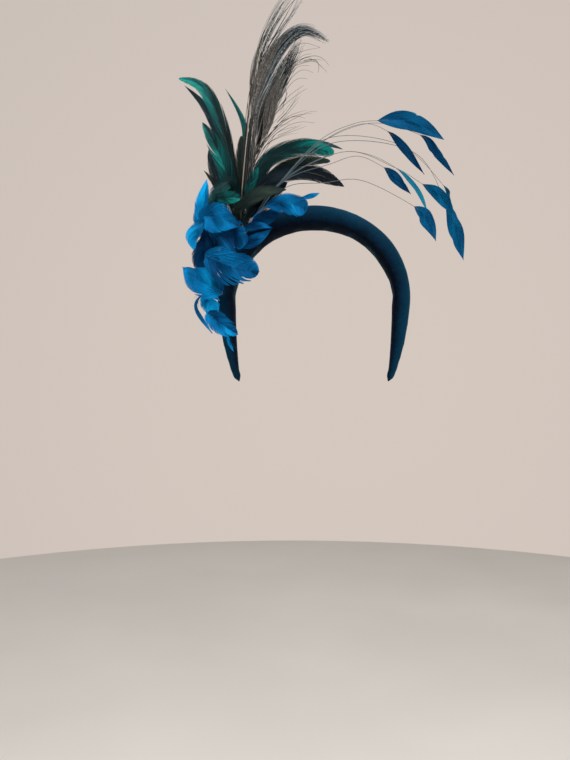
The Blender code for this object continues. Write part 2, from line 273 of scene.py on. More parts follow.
class Nodes:
    """A material's node tree, with short calls for the nodes that the finishes share."""

    def __init__(self, name: str) -> None:
        """Starts a material with its Principled shader.

        Args:
            name: The material's name.
        """
        self.material = bpy.data.materials.new(name)
        self.material.use_nodes = True
        self.tree = self.material.node_tree
        self.shader = self.tree.nodes["Principled BSDF"]

    def add(self, kind: str, **settings: object) -> bpy.types.Node:
        """Adds a node.

        Args:
            kind: The node's type.
            settings: Its properties; those that name an input instead set it or link it.

        Returns:
            The node.
        """
        node = self.tree.nodes.new(kind)
        for word, value in settings.items():
            if hasattr(node, word):
                setattr(node, word, value)
            else:
                self.feed(node.inputs[word.replace("_", " ").title()], value)
        return node

    def feed(self, socket: bpy.types.NodeSocket, value: object) -> None:
        """Links a value into an input, or sets the input to it.

        Args:
            socket: The input.
            value: Another node's output, or a plain value.
        """
        if isinstance(value, bpy.types.NodeSocket):
            self.tree.links.new(value, socket)
        else:
            socket.default_value = value

    def attribute(self, word: str) -> bpy.types.NodeSocket:
        """The piece's own attribute of this name."""
        return self.add("ShaderNodeAttribute", attribute_name=word).outputs["Fac"]

    def place(self) -> bpy.types.NodeSocket:
        """Object coordinates."""
        return self.add("ShaderNodeTexCoord").outputs["Object"]

    def noise(self, scale: float, detail: float = 2.0, roughness: float = 0.5) -> bpy.types.NodeSocket:
        """Noise over Object coordinates.

        Args:
            scale: Lumps per metre.
            detail: Finer layers of it.
            roughness: Weight of each finer layer.

        Returns:
            Its value, about 0.5 on average.
        """
        return self.add("ShaderNodeTexNoise", vector=self.place(), scale=scale, detail=detail,
                        roughness=roughness).outputs["Fac"]

    def total(self, base: float, *shares: tuple[object, float]) -> bpy.types.NodeSocket:
        """A weighted sum.

        Args:
            base: What the sum starts at.
            shares: Values with their weights.

        Returns:
            The sum.
        """
        value = base
        for source, weight in shares:
            node = self.add("ShaderNodeMath", operation="MULTIPLY_ADD")
            self.feed(node.inputs[0], source)
            node.inputs[1].default_value = weight
            self.feed(node.inputs[2], value)
            value = node.outputs[0]
        return value

    def ramp(self, factor: bpy.types.NodeSocket, stops: tuple) -> bpy.types.NodeSocket:
        """A colour ramp.

        Args:
            factor: Where on the ramp.
            stops: Places with their colours, in rising order.

        Returns:
            The colour.
        """
        node = self.add("ShaderNodeValToRGB")
        self.feed(node.inputs["Fac"], factor)
        elements = node.color_ramp.elements
        for _ in stops[2:]:
            elements.new(0.5)
        for element, (place, colour) in zip(elements, stops):
            element.position = place
            element.color = (*colour, 1.0)
        return node.outputs["Color"]

    def relief(self, strength: float, height: float, *grain: float) -> None:
        """Gives the surface fine relief.

        Args:
            strength: How much of it shows.
            height: Its height, in metres.
            grain: Its noise: scale, and detail and roughness if they aren't the usual ones.
        """
        node = self.add("ShaderNodeBump", strength=strength, distance=height)
        self.feed(node.inputs["Height"], self.noise(*grain))
        self.feed(self.shader.inputs["Normal"], node.outputs["Normal"])

    def dress(self, **values: object) -> bpy.types.Material:
        """Sets or links the shader's own inputs.

        Args:
            values: Inputs by their names in small letters, with the values.

        Returns:
            The material.
        """
        for word, value in values.items():
            self.feed(self.shader.inputs[word.replace("_", " ").title().replace("Ior", "IOR")], value)
        return self.material


@dataclass(frozen=True)
class Finish:
    """What all finishes share: tones along a depth that each kind works out, and fine relief."""

    name: str
    tones: tuple                 # colours from the deepest to the lightest
    roughness: float
    specular: float
    metallic: float = 0.0
    places: tuple = (0.05, 0.35, 0.65, 0.95)    # of the tones, from 0 to 1
    relief: tuple = (0.25, 0.0001, 2600.0)      # strength, height, then its noise

    def depth(self, nodes: Nodes) -> bpy.types.NodeSocket:
        """Where each spot is among the tones, which each kind of finish works out."""
        raise NotImplementedError(self.name)

    def sheen(self) -> dict[str, object]:
        """Inputs for a sheen, if the finish has one."""
        return {}

    def material(self) -> bpy.types.Material:
        """Puts the finish together.

        Returns:
            The material.
        """
        nodes = Nodes(self.name)
        colour = nodes.ramp(self.depth(nodes), tuple(zip(self.places, self.tones)))
        nodes.relief(*self.relief)
        return nodes.dress(base_color=colour, roughness=self.roughness, metallic=self.metallic,
                           specular_ior_level=self.specular, **self.sheen())


@dataclass(frozen=True)
class VaneFinish(Finish):
    """Barbs of a dyed feather, in four tones of its dye."""

    edge: float = 0.08           # how much lighter the barbs' ends are
    patches: float = 0.30        # how much the broad patches differ
    patch_scale: float = 60.0    # broad patches per metre

    def depth(self, nodes: Nodes) -> bpy.types.NodeSocket:
        """By strand, towards the barbs' ends and by broad patches.

        Args:
            nodes: The material's nodes.

        Returns:
            The depth, from 0 to 1.
        """
        return nodes.total(-0.5 * (self.patches + self.edge), (nodes.attribute("shade"), 1.0),
                           (nodes.attribute("outward"), self.edge),
                           (nodes.noise(self.patch_scale), self.patches))


@dataclass(frozen=True)
class QuillFinish(Finish):
    """A bare quill, with a tone for its root and one for its tip, and faint streaks."""

    roughness: float = 0.4
    specular: float = 0.35
    places: tuple = (0.2, 0.85)
    relief: tuple = (0.15, 0.0001, 1500.0, 3.0)
    run: float = 0.85            # how much of the change in tone follows the quill
    streaks: float = 0.3         # how much follows its streaks
    streak_scale: float = 320.0

    def depth(self, nodes: Nodes) -> bpy.types.NodeSocket:
        """By the way along the quill and by its streaks."""
        return nodes.total(0.0, (nodes.attribute("along"), self.run),
                           (nodes.noise(self.streak_scale, 3.0), self.streaks))


@dataclass(frozen=True)
class HerlFinish(Finish):
    """Peacock herl: dark strands, middling ones and pale ones that are partly painted highlight, with painted
    glints along their length.
    """

    roughness: float = 0.5
    specular: float = 0.35
    places: tuple = (0.15, 0.55, 0.90)
    relief: tuple = (0.4, 0.0002, 3000.0)
    painted_glints: float = 0.7          # how much the painted glints along the strands differ
    painted_glint_scale: float = 520.0

    def depth(self, nodes: Nodes) -> bpy.types.NodeSocket:
        """By strand and by the painted glints along it."""
        return nodes.total(-0.5 * self.painted_glints, (nodes.attribute("shade"), 1.0),
                           (nodes.noise(self.painted_glint_scale), self.painted_glints))


@dataclass(frozen=True)
class VelvetFinish(Finish):
    """Short-pile velvet with brushed patches and a pale sheen, and painted shade that makes it dark near the
    head and lighter on top of the roll.
    """

    roughness: float = 0.9
    specular: float = 0.08
    places: tuple = (0.12, 0.50, 0.95)
    relief: tuple = (0.6, 0.0005, 1800.0, 3.0, 0.6)
    patches: tuple = ((0.55, 34.0, 4.0, 0.55), (0.30, 260.0), (0.45, 900.0))    # how brushed, then noise
    sheen_tint: tuple = (0.05, 0.36, 0.52)
    sheen_weight: float = 0.5
    sheen_roughness: float = 0.2

    def depth(self, nodes: Nodes) -> bpy.types.NodeSocket:
        """By brushed patches, and by painted shade that darkens it towards the head.

        Args:
            nodes: The material's nodes.

        Returns:
            The depth, from 0 to 1.
        """
        brushed = [(nodes.noise(*grain), weight) for weight, *grain in self.patches]
        # Painted shade: the attribute outward darkens the velvet towards the head.
        return nodes.total(-0.5 * sum(weight for _, weight in brushed), *brushed,
                           (nodes.attribute("outward"), 1.0))

    def sheen(self) -> dict[str, object]:
        """The sheen at the velvet's turns."""
        return {"sheen_weight": self.sheen_weight, "sheen_roughness": self.sheen_roughness,
                "sheen_tint": (*self.sheen_tint, 1.0)}


class Dye(Enum):
    """What the vanes are dyed."""

    AZURE = VaneFinish(
        "azure_goose",
        ((0.0, 0.030, 0.10), (0.0, 0.105, 0.28), (0.0, 0.205, 0.49), (0.001, 0.380, 0.80)), 0.6, 0.05)
    BOTTLE = VaneFinish(
        "bottle_green_coque",
        ((0.001, 0.004, 0.006), (0.001, 0.019, 0.021), (0.001, 0.080, 0.082), (0.004, 0.270, 0.235)),
        0.45, 0.14, 0.15)
    BLUE_BLACK = VaneFinish(
        "blue_black_coque",
        ((0.0005, 0.002, 0.004), (0.001, 0.005, 0.009), (0.003, 0.014, 0.022), (0.010, 0.045, 0.055)),
        0.45, 0.13, 0.1)
    OLIVE = VaneFinish(
        "olive_coque",
        ((0.002, 0.008, 0.007), (0.008, 0.020, 0.017), (0.022, 0.040, 0.032), (0.065, 0.082, 0.060)),
        0.5, 0.14, 0.1)
    LEAF = VaneFinish(
        "leaf_blue",
        ((0.0, 0.024, 0.08), (0.0, 0.054, 0.155), (0.0, 0.105, 0.24), (0.003, 0.200, 0.38)), 0.6, 0.06)
    TEAL_LEAF = VaneFinish(
        "leaf_teal",
        ((0.0, 0.050, 0.11), (0.0, 0.100, 0.19), (0.0, 0.170, 0.27), (0.004, 0.270, 0.38)), 0.55, 0.1)


class Bone(Enum):
    """What the quills look like."""

    BLUE = QuillFinish("dyed_quill", ((0.002, 0.14, 0.42), (0.02, 0.30, 0.66)))
    DARK = QuillFinish("dark_quill", ((0.02, 0.026, 0.026), (0.005, 0.014, 0.015)))
    TAN = QuillFinish("tan_quill", ((0.16, 0.125, 0.085), (0.52, 0.48, 0.42)))
    STRIPPED = QuillFinish("stripped_quill", ((0.08, 0.14, 0.17), (0.10, 0.095, 0.085)))


# The band

@dataclass(frozen=True)
class HaloBand:
    """The foam-filled velvet roll, arched over the head and tapering to its two ends."""

    temple_half_width: float = 79.0
    temple_drop: float = 74.0
    end_drop: float = 147.0
    end_half_width: float = 70.0
    arc_share: float = 0.62
    shares: tuple = (0.0, 0.35, 0.62, 0.80, 1.0)
    thickness: tuple = (24.0, 22.0, 17.5, 13.5, 9.5)
    half_depth: tuple = (19.0, 18.5, 16.0, 13.0, 8.5)
    base_share: float = 0.28
    base_power: float = 0.45
    dome_power: float = 0.90
    foot_lift: float = 0.9       # of the quills' feet from the velvet
    stations: int = 150          # sections along the band
    ring: int = 48               # points round a section
    end_rings: int = 6           # that round off each end
    slack: float = 1.0           # how much smaller the padding starts before it swells
    voxel: float = 4.0
    pressure: float = 4.0
    frames: int = 20
    cap: float = 2.0             # how far a point may move as it swells
    even: tuple = (0.5, -0.52)   # shares of the way to the neighbours' mean in a round of evening out
    rounds: int = 6
    gathers: tuple = ((97.0, 0.0), (61.0, 1.3), (149.0, 0.4))    # turns per share of the way, start
    gather_depth: float = 0.22
    gather_height: float = 6.0   # above the inner line, up to which they reach
    gather_from: float = 5.0     # depth from which they start, either way from the middle
    creases: tuple = ((0.47, 1.6, 0.020), (0.56, 0.9, 0.012), (0.30, 0.7, 0.015), (-0.36, 0.8, 0.018),
                      (-0.55, 0.9, 0.014), (0.74, 0.6, 0.012), (-0.72, 0.6, 0.014), (0.12, 0.5, 0.014))
    crease_height: float = 7.0   # of their middles above the inner line
    crease_slant: float = 0.0016    # share of the way for each millimetre up
    samples: int = 401           # of the inner line, to find the nearest
    fill: float = 0.85

    def inner_line(self, share: Array) -> tuple[Array, Array]:
        """The inner line: an ellipse's arc, then a leg that bends in as a square law.

        Args:
            share: Shares of the way from the crown to the band's end.

        Returns:
            Its x and z there, in millimetres.
        """
        angle = np.clip(share / self.arc_share, 0.0, 1.0) * math.pi / 2
        leg = np.clip((share - self.arc_share) / (1.0 - self.arc_share), 0.0, None)
        bend, drop = self.temple_half_width - self.end_half_width, self.end_drop - self.temple_drop
        x = self.temple_half_width * np.sin(angle) - bend * leg ** 2
        z = self.temple_drop * (np.cos(angle) - 1.0) - drop * leg
        return x, z

    def away(self, share: Array) -> tuple[Array, Array]:
        """The way that leads from the head: the inner line's direction, turned a quarter.

        Args:
            share: Shares of the way from the crown to the band's end.

        Returns:
            The unit direction's x and z there.
        """
        step = 0.004
        x0, z0 = self.inner_line(np.maximum(share - step, 0.0))
        x1, z1 = self.inner_line(share + step)
        length = np.hypot(x1 - x0, z1 - z0)
        return -(z1 - z0) / length, (x1 - x0) / length

    def sizes(self, share: Array) -> tuple[Array, Array]:
        """Thickness and half depth of the roll at a share of the way."""
        return np.interp(share, self.shares, self.thickness), np.interp(share, self.shares, self.half_depth)

    def foot(self, share: float, depth: float) -> Array:
        """Middle of a quill's foot, just clear of the velvet.

        Args:
            share: Share of the way from the crown to the band's end, on the wearer's right.
            depth: Depth, negative towards the front.

        Returns:
            The point, in millimetres.
        """
        x, z = self.inner_line(np.float64(share))
        away_x, away_z = self.away(np.float64(share))
        thickness, half_depth = self.sizes(share)
        base = self.base_share * thickness
        cosine = min(abs(depth) / half_depth, 1.0) ** (1.0 / self.dome_power)
        dome = (thickness - base) * math.sqrt(1.0 - cosine ** 2) ** self.dome_power
        height = base + dome + self.foot_lift
        return np.array([-(x + away_x * height), depth, z + away_z * height])

    def form(self) -> tuple[Array, Array]:
        """The roll's closed surface before it swells.

        A section is a dome over its widest line and a flatter base under it: its height is the base plus
        the dome's rise times |sin a| to the dome's power, or the base less the base times |sin a| to the
        base's power, and its depth is the half depth times |cos a| to the dome's power, with the sign of
        cos a. The sections ride the inner line over the head. At each end they shrink as the square root of
        one less the rise squared.

        Returns:
            The vertices, in millimetres, and the quads.
        """
        signed = np.linspace(-1.0, 1.0, self.stations)[:, None]
        share = np.abs(signed)
        angle = np.arange(self.ring)[None, :] * 2.0 * math.pi / self.ring
        thickness, half_depth = self.sizes(share)
        thickness, half_depth = thickness - self.slack, half_depth - self.slack
        base = self.base_share * thickness
        above = base + (thickness - base) * np.abs(np.sin(angle)) ** self.dome_power
        below = base - base * np.abs(np.sin(angle)) ** self.base_power + self.slack
        height = np.where(np.sin(angle) >= 0.0, above, below)
        depth = half_depth * np.sign(np.cos(angle)) * np.abs(np.cos(angle)) ** self.dome_power
        x, z = self.inner_line(share)
        away_x, away_z = self.away(share)
        hand = np.where(signed >= 0.0, 1.0, -1.0)
        rows = np.stack((hand * (x + away_x * height), depth + 0.0 * x, z + away_z * height), axis=-1)
        nearly_shut = 0.98 * math.pi / 2
        rise = np.sin(np.linspace(0.0, 1.0, self.end_rings + 1)[1:] * nearly_shut)[:, None, None]
        ends = []
        for last, before in ((-1, -2), (0, 1)):
            middle = rows[last].mean(axis=0)
            down = unit(middle - rows[before].mean(axis=0)) * 0.5 * self.thickness[-1]
            ends.append(middle + (rows[last] - middle) * np.sqrt(1.0 - rise ** 2) + down * rise)
        rows = np.concatenate((ends[1][::-1], rows, ends[0]))
        return rows.reshape(-1, 3), skin(np.arange(rows.size // 3).reshape(1, -1, self.ring))

    def swell(self, piece: bpy.types.Object) -> Array:
        """Runs the padding as cloth under pressure from inside.

        Args:
            piece: The band with its even skin.

        Returns:
            How each point moved, at most by the cap, in metres.
        """
        cloth = piece.modifiers.new("padding", "CLOTH")
        cloth.settings.use_pressure = True
        cloth.settings.uniform_pressure_force = self.pressure
        cloth.settings.effector_weights.gravity = 0.0
        cloth.point_cache.frame_start = 1
        cloth.point_cache.frame_end = self.frames
        for step in range(1, self.frames + 1):
            bpy.context.scene.frame_set(step)
        start, end = coordinates(piece.data), coordinates(evaluated(piece))
        piece.modifiers.remove(cloth)
        bpy.context.scene.frame_set(1)
        move = end - start
        move -= move.mean(axis=0)
        length = np.linalg.norm(move, axis=1, keepdims=True)
        log.info("the padding swells by %.1f mm, %.1f mm at most", length.mean() / MM, length.max() / MM)
        return move * np.minimum(1.0, self.cap * MM / np.maximum(length, 1e-9))

    def relax(self, mesh: bpy.types.Mesh, points: Array) -> Array:
        """Evens out the skin: each round moves a point to its neighbours' mean by a share, then back again.

        Args:
            mesh: The mesh, for its edges.
            points: Its points.

        Returns:
            The points, evened out, with the roll's girth kept.
        """
        edges = np.empty(len(mesh.edges) * 2, np.int32)
        mesh.edges.foreach_get("vertices", edges)
        ends = np.concatenate((edges.reshape(-1, 2), edges.reshape(-1, 2)[:, ::-1]))
        near = np.bincount(ends[:, 0], minlength=len(points))[:, None]
        for share in self.even * self.rounds:
            mean = np.stack([np.bincount(ends[:, 0], points[ends[:, 1], axis], len(points))
                             for axis in range(3)], axis=-1) / near
            points = points + share * (mean - points)
        return points

    def place(self, points: Array) -> tuple[Array, Array]:
        """Share of the way along the band, negative on the wearer's right, and height above the inner line.

        Args:
            points: Points of the roll, in metres.

        Returns:
            Each point's share and its height, in millimetres.
        """
        table = np.linspace(-1.0, 1.0, self.samples)
        x, z = self.inner_line(np.abs(table))
        line = np.stack((np.sign(table) * x, z), axis=-1) * MM
        gap = np.linalg.norm(points[:, None, ::2] - line[None], axis=-1)
        return table[gap.argmin(axis=1)], gap.min(axis=1) / MM

    def pucker(self, points: Array) -> Array:
        """Moves of the velvet where it gathers.

        Round the inner edge of each face the cloth is drawn in by sines along the arch that die away with
        height above the inner line, and each crease is a Gaussian along the arch of its own place, depth
        and width.

        Args:
            points: Points of the roll, in metres.

        Returns:
            The moves, in metres.
        """
        share, height = self.place(points)
        low = np.exp(-(height / self.gather_height) ** 2) * (np.abs(points[:, 1]) > self.gather_from * MM)
        draw = self.gather_depth * sum(np.sin(share * turns + start) for turns, start in self.gathers) * low
        middle = np.exp(-((height - self.crease_height) / self.gather_height) ** 2)
        slant = share + self.crease_slant * (height - self.gather_height)
        for place, depth, width in self.creases:
            draw = draw - 0.5 * depth * np.exp(-((slant - place) / width) ** 2) * middle
        return -np.sign(points[:, 1:2]) * FRONT * draw[:, None] * MM

    def build(self) -> bpy.types.Object:
        """Makes the band's skin, swells it, evens it out, puckers it and puts it in velvet.

        Returns:
            The piece that stands for the solid band.
        """
        points, quads = self.form()
        mesh = bpy.data.meshes.new("velvet_band")
        mesh.from_pydata(points * MM, [], quads)
        piece = bpy.data.objects.new("velvet_band", mesh)
        bpy.context.scene.collection.objects.link(piece)
        remesh = piece.modifiers.new("even_skin", "REMESH")
        remesh.mode = "VOXEL"
        remesh.voxel_size = self.voxel * MM
        even = evaluated(piece)
        piece.modifiers.remove(remesh)
        piece.data = even
        move = self.swell(piece)
        points = self.relax(piece.data, coordinates(piece.data) + move)
        points = points + self.pucker(points)
        piece.data.vertices.foreach_set("co", points.astype(np.float32).ravel())
        # Each point's share of the way out from the head, by which the velvet's painted shade darkens it
        # towards the head.
        share, height = self.place(points)
        outward = np.clip(height / self.sizes(np.abs(share))[0], 0.0, 1.0)
        layer = piece.data.attributes.new("outward", "FLOAT", "POINT")
        layer.data.foreach_set("value", outward.astype(np.float32))
        piece.data.shade_smooth()
        smooth = piece.modifiers.new("fine_skin", "SUBSURF")
        smooth.levels = smooth.render_levels = 2
        piece.data.materials.clear()
        piece.data.materials.append(VELVET.material())
        return report(piece, "velvet", "padded_band")


VELVET = VelvetFinish("petrol_velvet", ((0.0, 0.002, 0.008), (0.0, 0.015, 0.036), (0.0, 0.029, 0.061)))
BAND = HaloBand()


def coordinates(mesh: bpy.types.Mesh) -> Array:
    """A mesh's points.

    Args:
        mesh: The mesh.

    Returns:
        Its points as one array, in metres.
    """
    points = np.empty(len(mesh.vertices) * 3, np.float32)
    mesh.vertices.foreach_get("co", points)
    return points.reshape(-1, 3).astype(float)


def evaluated(piece: bpy.types.Object) -> bpy.types.Mesh:
    """A new mesh of the piece with its modifiers applied."""
    graph = bpy.context.evaluated_depsgraph_get()
    return bpy.data.meshes.new_from_object(piece.evaluated_get(graph))


# Feathers with barbs

@dataclass(frozen=True)
class Cut:
    """How the barbs of one kind of feather lie."""

    pitch: float                 # between barbs at the quill
    sweep: float                 # how far forward the barbs run, 0 for straight out
    clump: float                 # length of outline that one lock of barbs takes
    bunch: float                 # how much a lock's barbs draw together at their ends
    ragged: float                # how unequal the locks' lengths are, as a share of the half width
    lift: float                  # how far a lock rises out of the vane's face
    overlap: float               # a barb's width over the space that it has
    free_end: float              # width left at a barb's end, as a share
    rise: float                  # power of the vane's widening from the quill, small for a sudden one
    streak: float                # how much the barbs differ in tone
    stations: int = 9
    out_power: float = 0.9       # of the share of a barb, by which it runs out
    ahead_power: float = 1.15    # by which it runs forward
    turn_power: float = 1.5      # by which it turns away from a split
    turn_reach: float = 3.5      # how far from a split the barbs still turn
    half_thickness: float = 0.07
    root_thickness: float = 0.35    # share of the thickness that a barb has at the quill
    quill_half_width: float = 0.8
    quill_flat: float = 0.85     # thickness of the quill over its width
    quill_proud: float = 0.35    # how far it stands before the vane, as a share of its half width
    quill_taper: float = 0.82    # share of its width that the quill loses
    quill_end: float = 0.98      # share of the vane where the quill sinks among the barbs
    quill_stations: int = 48
    painted_wave_shade: float = 0.0          # painted shade along the vane's waves: lighter on their crests, darker in their troughs
    root_width: float = 0.0      # how much wider than its space a barb is at the quill
    down: int = 0                # loose fibres low on the quill
    down_reach: float = 5.0      # how far they stand out
    down_half_width: float = 0.13


GOOSE = Cut(0.40, 3.6, 6.5, 0.11, 0.06, 0.22, 1.7, 0.35, 0.6, 0.06, half_thickness=0.05,
            quill_half_width=0.42, quill_end=0.25, painted_wave_shade=0.13, root_width=0.7, down=16)
COQUE = Cut(0.40, 1.7, 6.0, 0.16, 0.08, 0.22, 1.3, 0.15, 0.55, 0.10, quill_half_width=0.6, painted_wave_shade=0.06,
            root_width=0.3, down=80, down_reach=9.0)
LEAF = Cut(0.45, 1.4, 12.0, 0.03, 0.008, 0.02, 1.6, 0.8, 0.8, 0.02, half_thickness=0.025,
           quill_half_width=0.36, quill_taper=0.45, quill_end=0.15, painted_wave_shade=0.05, root_width=0.5)


@dataclass(frozen=True)
class Feather:
    """One feather: a quill from the band to the start of its vane, then the vane to its tip."""

    name: str
    foot: tuple                  # share of the way along the band, depth
    way: tuple                   # points that the quill runs through after the foot
    width: float                 # of the vane at its widest
    widest: float = 0.5          # share of the vane at which it is widest
    point: float = 0.75          # power of the narrowing to the tip, small for a blunt tip
    roll: float = 0.0            # degrees that the vane is turned about its quill
    cup: float = 0.10            # hollow of the vane, as a share of its half width
    vane_from: int = 1           # which point of the way starts the vane, counted from the foot
    fold: float = 0.0            # height of the vane's fold along the quill, as a share of its half width
    wave: float = 0.06           # height of its slow waves, likewise
    tones: tuple = (0.4, 0.5, 0.6)    # how light it is at the foot, halfway and at the tip: partly its dye, partly painted shade and light, such as deeper tones where petals overlap at their roots
    lean: float = 0.0            # how much lighter it is on the side across than on the other
    splits: tuple = ()           # (side, share of the vane at the outline, gap)
    notches: tuple = ()          # (side, share of the vane at the outline, depth, width), negative for a bump
    sweep: float = 0.0           # how much farther forward its barbs run than its cut's
    wear: float = 1.0            # how ragged it is, as a share of its cut
    dye: Dye = Dye.AZURE
    bone: Bone = Bone.BLUE
    modelled: bool = True        # whether the solid part has it too
    waves: tuple = (9.0, 2.6)    # phase that the waves take up along the vane and from its quill out
    least_half_width: float = 0.12

    def half_width(self, vane: Array, rise: float) -> Array:
        """Half width of the vane at shares of its length, for a power of its widening."""
        half = 0.5 * self.width * swelling(vane, self.widest, rise, self.point)
        return np.maximum(self.least_half_width, half)

    def spine(self) -> Spine:
        """The quill's curve from the band to the tip."""
        return Spine(np.vstack((BAND.foot(*self.foot), np.array(self.way, float))), self.roll)

    def phase(self, vane: Array, q: Array) -> Array:
        """Phase of the vane's waves at a share of its length and a place across it."""
        return self.waves[0] * vane + self.waves[1] * q + zlib.crc32(self.name.encode()) % 628 / 100.0

    def surface(self, spine: Spine, vane: Array, q: Array, rise: float) -> tuple[Array, Array]:
        """Points of the vane and the way that it faces there.

        The vane is hollowed as cup * q squared, folded as fold * |q|, and waved as wave * the sine of its
        phase, all times its half width.

        Args:
            spine: The quill's curve.
            vane: Shares of the vane's length.
            q: Place across, from -1 at one edge to 1 at the other.
            rise: Power of the vane's widening.

        Returns:
            The points and the unit directions that the vane faces.
        """
        start = spine.marks[self.vane_from]
        point, across, facing = spine.at(start + (1.0 - start) * np.clip(vane, 0.0, 1.0))
        half = self.half_width(np.clip(vane, 0.0, 1.0), rise)
        phase = self.phase(vane, q)
        height = (self.cup * q ** 2 + self.fold * np.abs(q) + self.wave * np.sin(phase)) * half
        slope = 2.0 * self.cup * q + self.fold * np.sign(q) + self.waves[1] * self.wave * np.cos(phase)
        return (point + across * (q * half)[..., None] + facing * height[..., None],
                unit(facing - across * slope[..., None]))

    def barbs(self, spine: Spine, cut: Cut, side: float, rng: np.random.Generator) -> Strands:
        """The barbs of one side of the vane.

        A barb that ends at share e of the outline leaves the quill at e to the power 1 + sweep, and runs
        out, forward and away from a split as its cut's powers of t. A lock's barbs draw to its middle as t
        squared, and reach as far as chance and the notches let them. Each is as wide as its space times the
        overlap, wider at the quill, and its two end rings lie close together so that the smooth shading
        stays flat. Its tone follows the feather's tones along the vane, with a streak of its own, and painted
        shade by the sine of the vane's phase: lighter on the waves' crests, darker in their troughs.

        Args:
            spine: The quill's curve.
            cut: How the barbs lie.
            side: -1 or 1, the side of the quill.
            rng: The feather's random draws.

        Returns:
            The barbs, from the root of the vane to its tip.
        """
        length = spine.length * (1.0 - spine.marks[self.vane_from])
        sweep = cut.sweep + self.sweep
        count = max(10, int(length / cut.pitch))
        locks = max(2, round(length / cut.clump))
        end = 1.0 - (1.0 - (np.arange(count) + 0.5) / count) ** (1.0 + 0.25 * sweep)
        place = end * locks + 0.35 * np.sin(end * 17.0 + rng.uniform(0.0, 6.0))
        lock = np.clip(place.astype(int), 0, locks)
        members = [end[lock == one] for one in range(locks + 1)]
        middle = np.array([ends.mean() if ends.size else 0.0 for ends in members])
        ragged = cut.ragged * self.wear
        reach = 1.0 - ragged * (rng.random(locks + 1)[lock] + 0.4 * rng.random(count) - 0.3)
        reach = np.minimum(reach + 0.03 * np.sin(end * 11.0 + rng.uniform(0.0, 6.0)), 1.05)
        for notch_side, share, depth, width in self.notches:
            if notch_side == side:
                reach = reach - depth * np.exp(-((end - share) / width) ** 2)
        lift = cut.lift * rng.normal(0.0, 1.0, locks + 1)[lock] + 0.04 * rng.normal(0.0, 1.0, count)
        streak = cut.streak * (0.6 * rng.normal(0.0, 1.0, locks + 1)[lock] + rng.normal(0.0, 1.0, count))
        t = np.concatenate(([0.0], np.linspace(0.01, 0.985, cut.stations - 2), [1.0]))[None]
        base = (end ** (1.0 + sweep))[:, None]
        goal = end[:, None] + (middle[lock] - end)[:, None] * cut.bunch * t ** 2
        vane = base + (goal - base) * t ** cut.ahead_power
        q = side * t ** cut.out_power * reach[:, None]
        for split_side, share, gap in self.splits:
            if split_side == side:
                away = (end - share)[:, None] * length
                turn = np.sign(away) * np.exp(-np.abs(away) / cut.turn_reach) * gap * t ** cut.turn_power
                vane = vane + turn / length
                q = q - side * turn * sweep / (1.0 + sweep) / self.width
        centre, normal = self.surface(spine, vane, q, cut.rise)
        centre = centre + normal * (lift[:, None] * t ** 2)[..., None]
        least, most = 0.10 + cut.root_width * (1.0 - t) ** 2, 2.0 * cut.pitch
        half = 0.5 * cut.overlap * np.clip(room_beside(centre), least, most)
        half = half * (1.0 - (1.0 - cut.free_end) * t ** 5)
        thick = cut.half_thickness * (cut.root_thickness + (1.0 - cut.root_thickness) * t)
        tone = np.interp(vane, (0.0, 0.5, 1.0), self.tones) + side * self.lean + streak[:, None]
        # Painted shade: lighter on the waves' crests, darker in their troughs.
        tone = tone + cut.painted_wave_shade * np.sin(self.phase(vane, 0.6 * q))
        return Strands(centre, normal, half, thick, np.clip(vane, 0.0, 1.0), t, np.clip(tone, 0.0, 1.1))

    def downy(self, spine: Spine, cut: Cut, rng: np.random.Generator) -> Strands:
        """Loose fibres low on the quill: they run forward and out as t, and sway as a sine times t.

        Args:
            spine: The quill's curve.
            cut: How many there are and how far they reach.
            rng: The feather's random draws.

        Returns:
            The fibres.
        """
        size, t = (cut.down, 1), np.linspace(0.0, 1.0, 9)[None]
        base = rng.uniform(0.05, 1.0, size) * (spine.marks[self.vane_from] + 0.10)
        run = rng.uniform(2.0, 3.5, size) * cut.down_reach / spine.length
        share = np.clip(base + run * t, 0.0, 1.0)
        point, across, facing = spine.at(share)
        sway = 0.12 * np.sin(t * rng.uniform(4.0, 9.0, size) + rng.uniform(0.0, 6.0, size))
        out = cut.down_reach * t * (rng.uniform(-0.8, 0.8, size) + sway)
        rise = cut.down_reach * t * (rng.normal(0.0, 0.25, size) + sway)
        centre = point + across * out[..., None] + facing * rise[..., None]
        thin = cut.down_half_width * (1.0 - 0.6 * t)
        tone = np.clip(self.tones[0] - 0.1 + 2.0 * cut.streak * rng.normal(0.0, 1.0, size), 0.0, 1.0)
        return Strands(centre, facing, thin, thin, share, t, tone)

    def quill(self, spine: Spine, cut: Cut) -> Strands:
        """The quill, which thins as the share to the power 0.8 and stands a little proud of the vane.

        Args:
            spine: Its curve.
            cut: How thick it is and where it sinks among the barbs.

        Returns:
            The quill as one round strand.
        """
        start = spine.marks[self.vane_from]
        end = start + (1.0 - start) * cut.quill_end
        share = np.linspace(0.0, end, cut.quill_stations)[None]
        point, _, facing = spine.at(share)
        half = cut.quill_half_width * (1.0 - cut.quill_taper * (share / end) ** 0.8)
        point = point + facing * (cut.quill_proud * half)[..., None]
        return Strands(point, facing, half, cut.quill_flat * half, share, 0.0, 0.5, sides=8, finish=1)

    def build(self, cut: Cut, slot: str, finishes: dict) -> bpy.types.Object:
        """Makes the feather.

        Args:
            cut: How its barbs lie.
            slot: The material slot that the log names.
            finishes: A material for each dye and bone.

        Returns:
            The feather as one piece, which stands for its node if the solid part has it.
        """
        rng = draws(self.name)
        spine = self.spine()
        groups = [self.barbs(spine, cut, side, rng) for side in (-1.0, 1.0)]
        if cut.down:
            groups.append(self.downy(spine, cut, rng))
        groups.append(self.quill(spine, cut))
        piece = solid_piece(f"{self.name}_barbs", groups, [finishes[self.dye], finishes[self.bone]])
        return report(piece, slot, *([self.name] if self.modelled else []))
